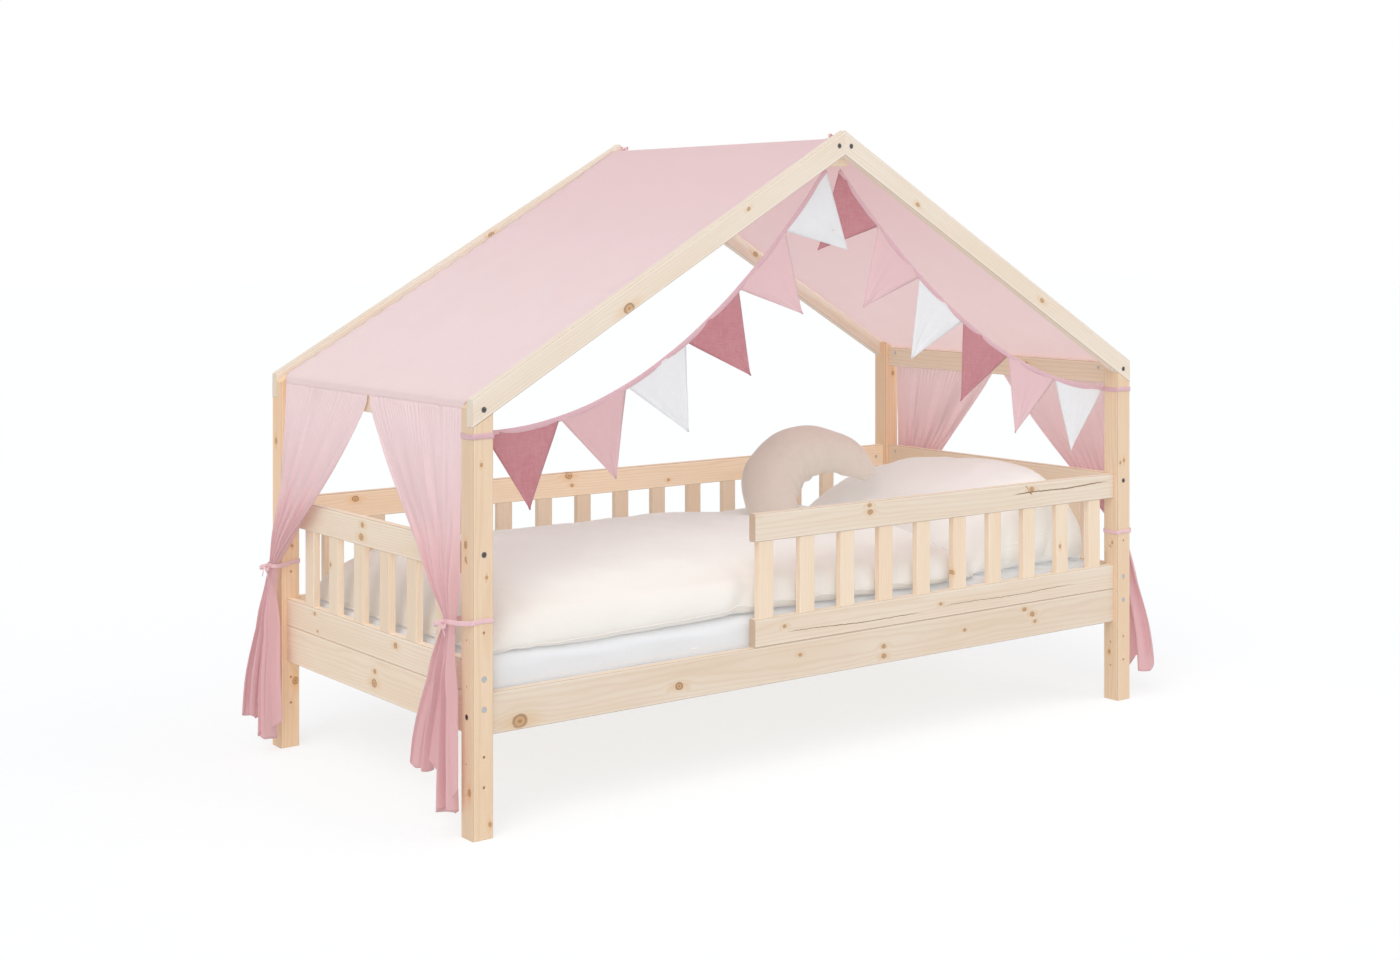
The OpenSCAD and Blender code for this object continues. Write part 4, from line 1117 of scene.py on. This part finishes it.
def fitted_sheet():
    """The mattress in its fitted sheet: taut top, rounded edges, gathered hem underneath."""
    low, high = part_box("mattress")
    half = np.array([(high.x - low.x) / 2, (high.y - low.y) / 2])
    around = 480
    s = np.linspace(0, 1, around, endpoint=False)
    corner_r = 0.06
    outline = []
    turn = corner_r * math.pi / 2
    sides = [2 * (half[1] - corner_r), 2 * (half[0] - corner_r)] * 2
    total = sum(sides) + 4 * turn
    for share in s:
        run, heading, at = share * total, 0, 0
        for heading, side in enumerate(sides):
            if run < side:
                at = (run, 0)
                break
            run -= side
            if run < turn:
                at = (side, run / corner_r)
                break
            run -= turn
        outline.append((heading, *at))
    starts = [np.array([half[0], -half[1] + corner_r]), np.array([half[0] - corner_r, half[1]]),
              np.array([-half[0], half[1] - corner_r]), np.array([-half[0] + corner_r, -half[1]])]
    ways = [np.array(v, float) for v in ((0, 1), (-1, 0), (0, -1), (1, 0))]
    outs = [np.array(v, float) for v in ((1, 0), (0, 1), (-1, 0), (0, -1))]
    points, normals, bend = [], [], []
    for heading, run, angle in outline:
        way, out = ways[heading], outs[heading]
        centre = starts[heading] - out * corner_r + way * run
        normal = out * math.cos(angle) + way * math.sin(angle)
        points.append(centre + normal * corner_r)
        normals.append(normal)
        bend.append(math.sin(2 * angle))
    points, normals, bend = np.array(points), np.array(normals), np.array(bend)
    top, bottom = high.z, low.z
    edge, lower_edge, taut = 0.034, 0.014, 0.0012
    profile = [(0.075, bottom + 0.0012), (0.050, bottom + 0.0006), (0.020, bottom + 0.0004)]
    for a in np.linspace(-90, 0, 6)[1:]:
        a = math.radians(a)
        profile.append((lower_edge * (1 - math.cos(a)), bottom + lower_edge * (1 + math.sin(a))))
    for f in (0.3, 0.5, 0.7):
        profile.append((0.0, bottom + lower_edge + f * (top - bottom - lower_edge - edge)))
    for a in np.linspace(0, 90, 9):
        a = math.radians(a)
        profile.append((edge * (1 - math.cos(a)), top - taut - edge * (1 - math.sin(a))))
    for inset in (0.05, 0.075, 0.11, 0.16, 0.22, 0.29, 0.36, 0.43):
        profile.append((inset, top - taut))
    rings = []
    for number, (inset, z) in enumerate(profile):
        ring = points - normals * inset
        limit = half - inset - 0.0005
        ring = np.clip(ring, -np.maximum(limit, 0.0005), np.maximum(limit, 0.0005))
        tucked = np.exp(-((z - bottom) / 0.03) ** 2)
        gathers = 0.0016 * np.sin(s * 2 * np.pi * 118 + 3 * np.sin(s * 41))
        pleat = gathers * (0.25 + 0.75 * np.abs(bend)) * tucked
        slack = (-0.0009 * (1 + np.sin(s * 2 * np.pi * 21 + 5 * z * 30))
                 * ease(z, bottom + 0.02, bottom + 0.07))
        ring = ring + normals * (pleat + slack - 0.0016)[:, None]
        ripple = 0.0005 * np.sin(s * 2 * np.pi * 33 + number) if 0.03 < inset < 0.2 else 0
        rings.append(np.column_stack([ring, np.full(around, z) + ripple]))
    grid = np.array(rings)
    faces = grid_faces(len(rings), around, closed=True)
    last = (len(rings) - 1) * around
    faces.append(tuple(range(last, last + around)))
    cover = add_piece("fitted_sheet", grid, faces, SHEET_CLOTH, "sheet_cotton", "mattress")
    shell = cover.modifiers.new("thickness", "SOLIDIFY")
    shell.thickness = 0.0007
    shell.offset = 0
    core_rings = [grid[0] + [0, 0, 0.0016], grid[2] + [0, 0, 0.0015], grid[7], grid[11] - [0, 0, 0.003]]
    core_rings = [r * [0.998, 0.997, 1] for r in core_rings]
    core_faces = grid_faces(4, around, closed=True)
    core_faces += [tuple(range(around))[::-1], tuple(range(3 * around, 4 * around))]
    core = add_piece("mattress_core", np.array(core_rings), core_faces, TICKING_CLOTH,
                     "sheet_cotton", "mattress")
    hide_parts("mattress")


def envelope(nx, ny, size_x, size_y, bulge):
    """Two sheets of cloth sewn together along all four edges, a little puffed."""
    xs, ys = np.linspace(-0.5, 0.5, nx + 1), np.linspace(-0.5, 0.5, ny + 1)
    gx, gy = np.meshgrid(xs, ys, indexing="ij")
    puff = bulge * np.sqrt(np.clip((1 - (2 * gx) ** 2) * (1 - (2 * gy) ** 2), 0, 1))
    top = np.stack([gx * size_x, gy * size_y, puff], -1)
    bottom = np.stack([gx * size_x, gy * size_y, -puff], -1)
    count = (nx + 1) * (ny + 1)
    number = np.arange(count).reshape(nx + 1, ny + 1)
    inner = number[1:-1, 1:-1]
    below = number.copy()
    below[1:-1, 1:-1] = count + np.arange(inner.size).reshape(inner.shape)
    points = np.concatenate([top.reshape(-1, 3), bottom[1:-1, 1:-1].reshape(-1, 3)])
    faces = []
    for i in range(nx):
        for j in range(ny):
            faces.append((number[i, j], number[i + 1, j], number[i + 1, j + 1], number[i, j + 1]))
            faces.append((below[i, j], below[i, j + 1], below[i + 1, j + 1], below[i + 1, j]))
    return points, faces


def blown_up(points, faces, floor_z, pressure, frames, bending):
    """The closed cloth form after it has been filled and has settled on a flat floor."""
    mesh = bpy.data.meshes.new("swelling")
    mesh.from_pydata(points.tolist(), [], [list(map(int, f)) for f in faces])
    made = bpy.data.objects.new("swelling", mesh)
    bpy.context.scene.collection.objects.link(made)
    plate_mesh = bpy.data.meshes.new("plate")
    plate_mesh.from_pydata([(-3, -3, floor_z), (3, -3, floor_z), (3, 3, floor_z), (-3, 3, floor_z)], [],
                           [(0, 1, 2, 3)])
    plate = bpy.data.objects.new("plate", plate_mesh)
    bpy.context.scene.collection.objects.link(plate)
    plate.modifiers.new("hit", "COLLISION")
    plate.collision.thickness_outer = 0.002
    fabric = made.modifiers.new("cloth", "CLOTH")
    settings = fabric.settings
    settings.quality = 7
    settings.mass = 0.25
    settings.tension_stiffness = 14.0
    settings.compression_stiffness = 14.0
    settings.shear_stiffness = 7.0
    settings.bending_stiffness = bending
    settings.use_pressure = True
    settings.uniform_pressure_force = pressure
    settings.air_damping = 2.0
    fabric.collision_settings.distance_min = 0.002
    fabric.point_cache.frame_end = frames
    scene = bpy.context.scene
    for number in range(1, frames + 1):
        scene.frame_set(number)
    settled = made.evaluated_get(bpy.context.evaluated_depsgraph_get())
    result = np.zeros(len(points) * 3)
    settled.data.vertices.foreach_get("co", result)
    for thing in (made, plate):
        bpy.data.objects.remove(thing)
    scene.frame_set(1)
    return result.reshape(-1, 3)


def soft(value, power):
    """Signed power, for rounded-square sections."""
    return np.sign(value) * np.abs(value) ** power


def evenly(values, places, count):
    """Values at evenly spaced places along a curve."""
    run = np.concatenate([[0], np.cumsum(np.linalg.norm(np.diff(places, axis=0), axis=1))])
    return np.interp(np.linspace(0, run[-1], count), run, values)


def sampled(grid, rows, columns):
    """Values of a grid between its places, at shares from 0 to 1 along both sides."""
    r = np.clip(rows, 0, 1) * (grid.shape[0] - 1.001)
    c = np.clip(columns, 0, 1) * (grid.shape[1] - 1.001)
    i, j = r.astype(int), c.astype(int)
    f, g = r - i, c - j
    low = grid[i, j] * (1 - g) + grid[i, j + 1] * g
    high = grid[i + 1, j] * (1 - g) + grid[i + 1, j + 1] * g
    return low * (1 - f) + high * f


def sewn_wrinkles(nx, ny, size_x, size_y, pressure, frames, bending):
    """Height of the wrinkles on the top of a filled envelope, without its round shape."""
    points, faces = envelope(nx, ny, size_x, size_y, 0.03)
    blown = blown_up(points, faces, -0.09, pressure, frames, bending=bending)
    height = blown[:(nx + 1) * (ny + 1), 2].reshape(nx + 1, ny + 1)
    round_shape = height.copy()
    for _ in range(14):
        framed = np.pad(round_shape, 1, mode="edge")
        around = framed[:-2, 1:-1] + framed[2:, 1:-1] + framed[1:-1, :-2] + framed[1:-1, 2:]
        round_shape = 0.5 * round_shape + around / 8
    return height - round_shape


UPPER_SIDES = 64


def cushion_form(span, y_mid, half_w, crown, blunt, corner, belly, tilt, stations, sides):
    """Rings of a filled cushion that lies on the mattress, in corner coordinates, with the share
    along and across and up of every place. crown is the height along it, as (share, height)."""
    dense = np.linspace(0, 1, 2001)
    shares, heights = np.array(crown).T
    height = np.interp(dense, shares, heights)
    e = 0.02 + 0.98 * np.sqrt(1 - np.abs(2 * dense - 1) ** blunt)
    u = evenly(dense, np.column_stack([dense * (span[1] - span[0]), height * e]), stations)[:, None]
    upper, lower = np.linspace(0, np.pi, 721), np.linspace(-np.pi, 0, 721)
    mean = heights.mean()
    over = np.column_stack([half_w * soft(np.cos(upper), corner),
                            (1 - belly) * mean * soft(np.sin(upper), 0.8)])
    under = np.column_stack([half_w * soft(np.cos(lower), 0.12), belly * mean * soft(np.sin(lower), 0.8)])
    turning = [evenly(upper, over, UPPER_SIDES + 1), evenly(lower, under, sides - UPPER_SIDES + 1)[1:-1]]
    a = np.concatenate(turning)[None, :]
    e, height = (np.interp(u, dense, v) for v in (e, height))
    up = soft(np.sin(a), 0.8)
    across = np.where(a >= 0, soft(np.cos(a), corner), soft(np.cos(a), 0.12))
    x = span[0] + (span[1] - span[0]) * u + 0 * a
    y = y_mid + half_w * (0.9 + 0.1 * e) * across
    rise = belly + np.where(up > 0, 1 - belly, belly) * up
    z = BEDDING_Z + height * e * rise * (1 - tilt * across)
    return np.stack([x, y, z], -1), u + 0 * a, across + 0 * u, up + 0 * u


def form_faces(stations, sides):
    """Faces of a cushion form with its two small ends, and its seam line."""
    faces = grid_faces(stations, sides, closed=True)
    last = (stations - 1) * sides
    faces += [tuple(range(sides)), tuple(range(last, last + sides))]
    rows = sides * np.arange(stations)
    seam = np.concatenate([rows, last + np.arange(1, UPPER_SIDES), (rows + UPPER_SIDES)[::-1],
                           np.arange(UPPER_SIDES - 1, 0, -1)])
    return faces, seam


def out_of(grid):
    """Outward directions of the rings of a cushion."""
    along = np.gradient(grid, axis=0)
    around = np.roll(grid, -1, 1) - np.roll(grid, 1, 1)
    outward = np.cross(around, along)
    outward /= np.maximum(np.linalg.norm(outward, axis=-1), 1e-9)[..., None]
    middle = grid.mean((0, 1))
    if np.einsum("rcx,rcx->", outward, grid - middle) < 0:
        outward = -outward
    return outward


def front_folds(grid, folds, top):
    """Depth of upright folds along the front of a cushion. folds are (x, lean, width, depth)."""
    x, y, z = grid[..., 0], grid[..., 1], grid[..., 2]
    total = np.zeros_like(x)
    fade = ((1 - ease(z, top - 0.03, top + 0.05)) * (1 - ease(y, 0.20, 0.32))
            * ease(z, BEDDING_Z, BEDDING_Z + 0.02))
    for where, lean, width, depth in folds:
        total += depth * np.exp(-((x - where - lean * (z - BEDDING_Z)) / width) ** 2) * fade
    return total


def pressed_under(points, surface, clearance, spread):
    """Lowers points to lie under another piece, and eases the ground around it."""
    mesh = surface.data
    tree = BVHTree.FromPolygons([v.co for v in mesh.vertices], [tuple(p.vertices) for p in mesh.polygons])
    centre = np.array([v.co for v in mesh.vertices]).mean(0)
    result = points.copy()
    for i, p in enumerate(points):
        if np.linalg.norm(p[:2] - centre[:2]) > 0.36:
            continue
        for turn in range(0, 9):
            reach = 0 if turn == 0 else spread
            way = turn * 0.785  # an eighth of a full turn
            away = Vector((p[0] + reach * math.cos(way), p[1] + reach * math.sin(way), 0.30))
            hit = tree.ray_cast(away, Vector((0, 0, 1)))
            if hit[0] is not None:
                margin = clearance if turn == 0 else clearance - spread * 0.75
                result[i, 2] = min(result[i, 2], hit[0].z - margin)
    return result


def smoothed(points, faces, rounds):
    """Points moved halfway to the mean of their neighbours, a few rounds."""
    pairs = np.concatenate([np.stack([np.array(f), np.roll(f, -1)], 1) for f in faces])
    edges = np.unique(np.sort(pairs, axis=1), axis=0)
    degree = np.bincount(edges.ravel(), minlength=len(points))[:, None]
    for _ in range(rounds):
        total = np.zeros_like(points)
        np.add.at(total, edges[:, 0], points[edges[:, 1]])
        np.add.at(total, edges[:, 1], points[edges[:, 0]])
        points = points + 0.5 * (total / degree - points)
    return points


def crescent():
    """Crescent cushion: a jersey tube, tapered to its tips and bent round an open ring, that
    leans back and is turned to the front left."""
    stations, sides = 96, 44
    first, span = math.radians(21), math.radians(215)
    ring_r, thick, tip = 0.148, 0.0842, 0.0372
    u = np.linspace(0, 1, stations)[:, None]
    b = -2 * np.pi * np.arange(sides)[None, :] / sides
    a = first + span * u
    e = np.sqrt(np.clip(1 - np.abs(2 * u - 1) ** 9, 0, 1))
    r = (tip + (thick - tip) * np.sin(np.pi * u ** 1.3) ** 0.85) * (0.05 + 0.95 * e)
    inner = 0.5 - 0.5 * np.cos(b)
    wrinkle = 0.0026 * inner ** 3 * np.sin(u * 66 + 1.5 * np.sin(b * 2)) * np.sin(np.pi * u) ** 0.5
    seam = -0.0022 * np.exp(-((np.abs(np.angle(np.exp(1j * b))) / 0.07) ** 2))
    lumps = 0.0016 * np.sin(7 * u * np.pi + 2 * b) + 0.0010 * np.sin(13 * u * np.pi - b)
    r = r + (wrinkle + lumps - 0.0020) * e + seam
    rho = ring_r + r * np.cos(b)
    grid = np.stack([rho * np.cos(a), r * np.sin(b), rho * np.sin(a)], -1)
    turn = Euler((math.radians(-39), 0, math.radians(-30))).to_matrix()
    grid = grid @ np.array(turn).T + [1.438, 0.543, 0.550]
    faces = grid_faces(stations, sides, closed=True)
    faces += [tuple(range(sides))[::-1], tuple(range((stations - 1) * sides, stations * sides))]
    made = add_piece("crescent_pad", from_corner(grid), faces, JERSEY_CLOTH, "cushion_jersey",
                     "crescent_cushion")
    outward_faces(made)
    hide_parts("crescent_cushion")
    return made


def mattress_top(y):
    """Height of the made-up mattress at corner coordinate y, with its rounded long edges."""
    mattress_y, edge = 0.040, 0.034
    beyond = np.clip((mattress_y + edge - np.minimum(y, BED_W - y)) / edge, 0, 1)
    return BEDDING_Z - edge * (1 - np.sqrt(1 - beyond ** 2))


def bed_pad(node, points, faces, seam, material):
    """A cushion that rests on the mattress, with the welt along its seam."""
    points[:, 2] = np.maximum(points[:, 2], mattress_top(points[:, 1] + BED_W / 2) + 0.0006)
    made = add_piece(node + "_cover", points, faces, material, node + "_cotton", node)
    outward_faces(made)
    smooth = made.modifiers.new("smooth", "SUBSURF")
    smooth.levels = smooth.render_levels = 1
    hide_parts(node)
    welt = add_piece(node + "_welt", *seam_cord(points, seam, 0.0013), material, node + "_cotton", node)
    outward_faces(welt)


def seam_cord(points, seam, radius=0.0022):
    """The sewn edge of a cushion: a thin welt along its seam."""
    path = resampled(points[seam], 2 * len(seam), closed=True)
    tangent = np.roll(path, -1, 0) - np.roll(path, 1, 0)
    tangent /= np.linalg.norm(tangent, axis=1)[:, None]
    side = np.cross(tangent, [0, 0, 1.0])
    side /= np.linalg.norm(side, axis=1)[:, None]
    up = np.cross(side, tangent)
    sides = 8
    angle = 2 * np.pi * np.arange(sides) / sides
    cos, sin = np.cos(angle)[None, :, None], np.sin(angle)[None, :, None]
    ring = path[:, None] + radius * (cos * side[:, None] + sin * up[:, None])
    rings, n = ring.shape[:2]
    faces = grid_faces(rings, n, closed=True)
    faces += [((rings - 1) * n + c, (rings - 1) * n + (c + 1) % n, (c + 1) % n, c) for c in range(n)]
    return ring, faces


DUVET_CROWN = [(0, 0.158), (0.15, 0.155), (0.3, 0.155), (0.5, 0.157), (0.65, 0.148), (0.8, 0.140),
               (0.93, 0.160), (1, 0.160)]  # (share of the length, height)
DUVET_FOLDS = [(0.125, 0.5, 0.016, 0.006), (0.20, -0.3, 0.020, 0.005), (0.735, 0.6, 0.026, 0.014),
               (0.88, -0.2, 0.030, 0.010), (1.00, 0.3, 0.026, 0.011), (1.13, -0.3, 0.024, 0.010),
               (1.25, 0.2, 0.026, 0.012), (1.36, -0.4, 0.022, 0.010), (1.46, 0.3, 0.024, 0.012)]
PILLOW_CROWN = [(0, 0.178), (1, 0.306)]
PILLOW_FOLDS = [(1.66, 0.1, 0.016, 0.008), (1.75, -0.15, 0.014, 0.009), (1.83, 0.2, 0.016, 0.010),
                (1.90, -0.1, 0.012, 0.008)]


def duvet(cushion):
    """The duvet in its cotton cover, with the hollows the cushion presses into it."""
    stations, sides = 120, 104
    grid, u, across, up = cushion_form((0.062, 1.555), 0.490, 0.428, DUVET_CROWN, 9, 0.92, 0.20, 0.0,
                                       stations, sides)
    wrinkles = sewn_wrinkles(78, 50, 1.66, 1.08, 3.2, 34, 0.5)
    depth = sampled(wrinkles, u, (1 - across) / 2) * ease(up, -0.1, 0.3) * 2.0
    lumps = smooth_noise(grid, 3.3, 2.0) * 0.009 + smooth_noise(grid, 8.0, 5.0) * 0.004
    depth += lumps * ease(up, -0.3, 0.3)
    depth += smooth_noise(grid * [1.0, 2.6, 2.6], 16.0, 8.0) * 0.0022
    depth -= front_folds(grid, DUVET_FOLDS, 0.452)
    ledge = np.exp(-((grid[..., 2] - 0.468 - 0.02 * u) / 0.014) ** 2) * (1 - ease(grid[..., 1], 0.16, 0.26))
    depth -= 0.005 * ledge * ease(grid[..., 0], 0.2, 0.5) * ease(up, 0.0, 0.2)
    grid = grid + out_of(grid) * depth[..., None]
    x, y, z = np.moveaxis(grid, -1, 0)
    lip = (1 - ease(y, 0.05, 0.12)) * (1 - ease(z, 0.39, 0.47)) * (1 - 0.6 * ease(x, 0.2, 1.0))
    grid = np.stack([x, y - 0.021 * (1 - ease(y, 0.05, 0.30)), z - 0.030 * lip], -1)
    points = from_corner(grid).reshape(-1, 3)
    faces, seam = form_faces(stations, sides)
    points = pressed_under(points, cushion, 0.004, 0.035)
    points = smoothed(points, faces, 1)
    points = pressed_under(points, cushion, 0.003, 0.012)
    return bed_pad("duvet", points, faces, seam, DUVET_CLOTH)


def pillow(cushion):
    """The pillow in its case, leaning a little on the head end."""
    stations, sides = 60, 104
    grid, u, across, up = cushion_form((1.574, 1.993), 0.470, 0.405, PILLOW_CROWN, 3.0, 0.73, 0.33, 0.12,
                                       stations, sides)
    wrinkles = sewn_wrinkles(30, 56, 0.47, 0.88, 5.0, 30, 0.3)
    depth = sampled(wrinkles, u, (1 - across) / 2) * ease(up, -0.1, 0.3)
    depth += smooth_noise(grid, 6.0, 9.0) * 0.006 + smooth_noise(grid * [1.0, 1.0, 0.4], 19.0, 4.0) * 0.0025
    depth -= front_folds(grid, PILLOW_FOLDS, 0.52)
    points = from_corner(grid + out_of(grid) * depth[..., None]).reshape(-1, 3)
    faces, seam = form_faces(stations, sides)
    points = pressed_under(points, cushion, 0.004, 0.012)
    return bed_pad("pillow", points, faces, seam, PILLOW_CLOTH)


TICKING_CLOTH = cloth("ticking", (0.80, 0.79, 0.77), (0.7, 0.69, 0.66), 0.001, weave_at="Object", fuzz=0.4)

fitted_sheet()
CUSHION = crescent()
duvet(CUSHION)
pillow(CUSHION)
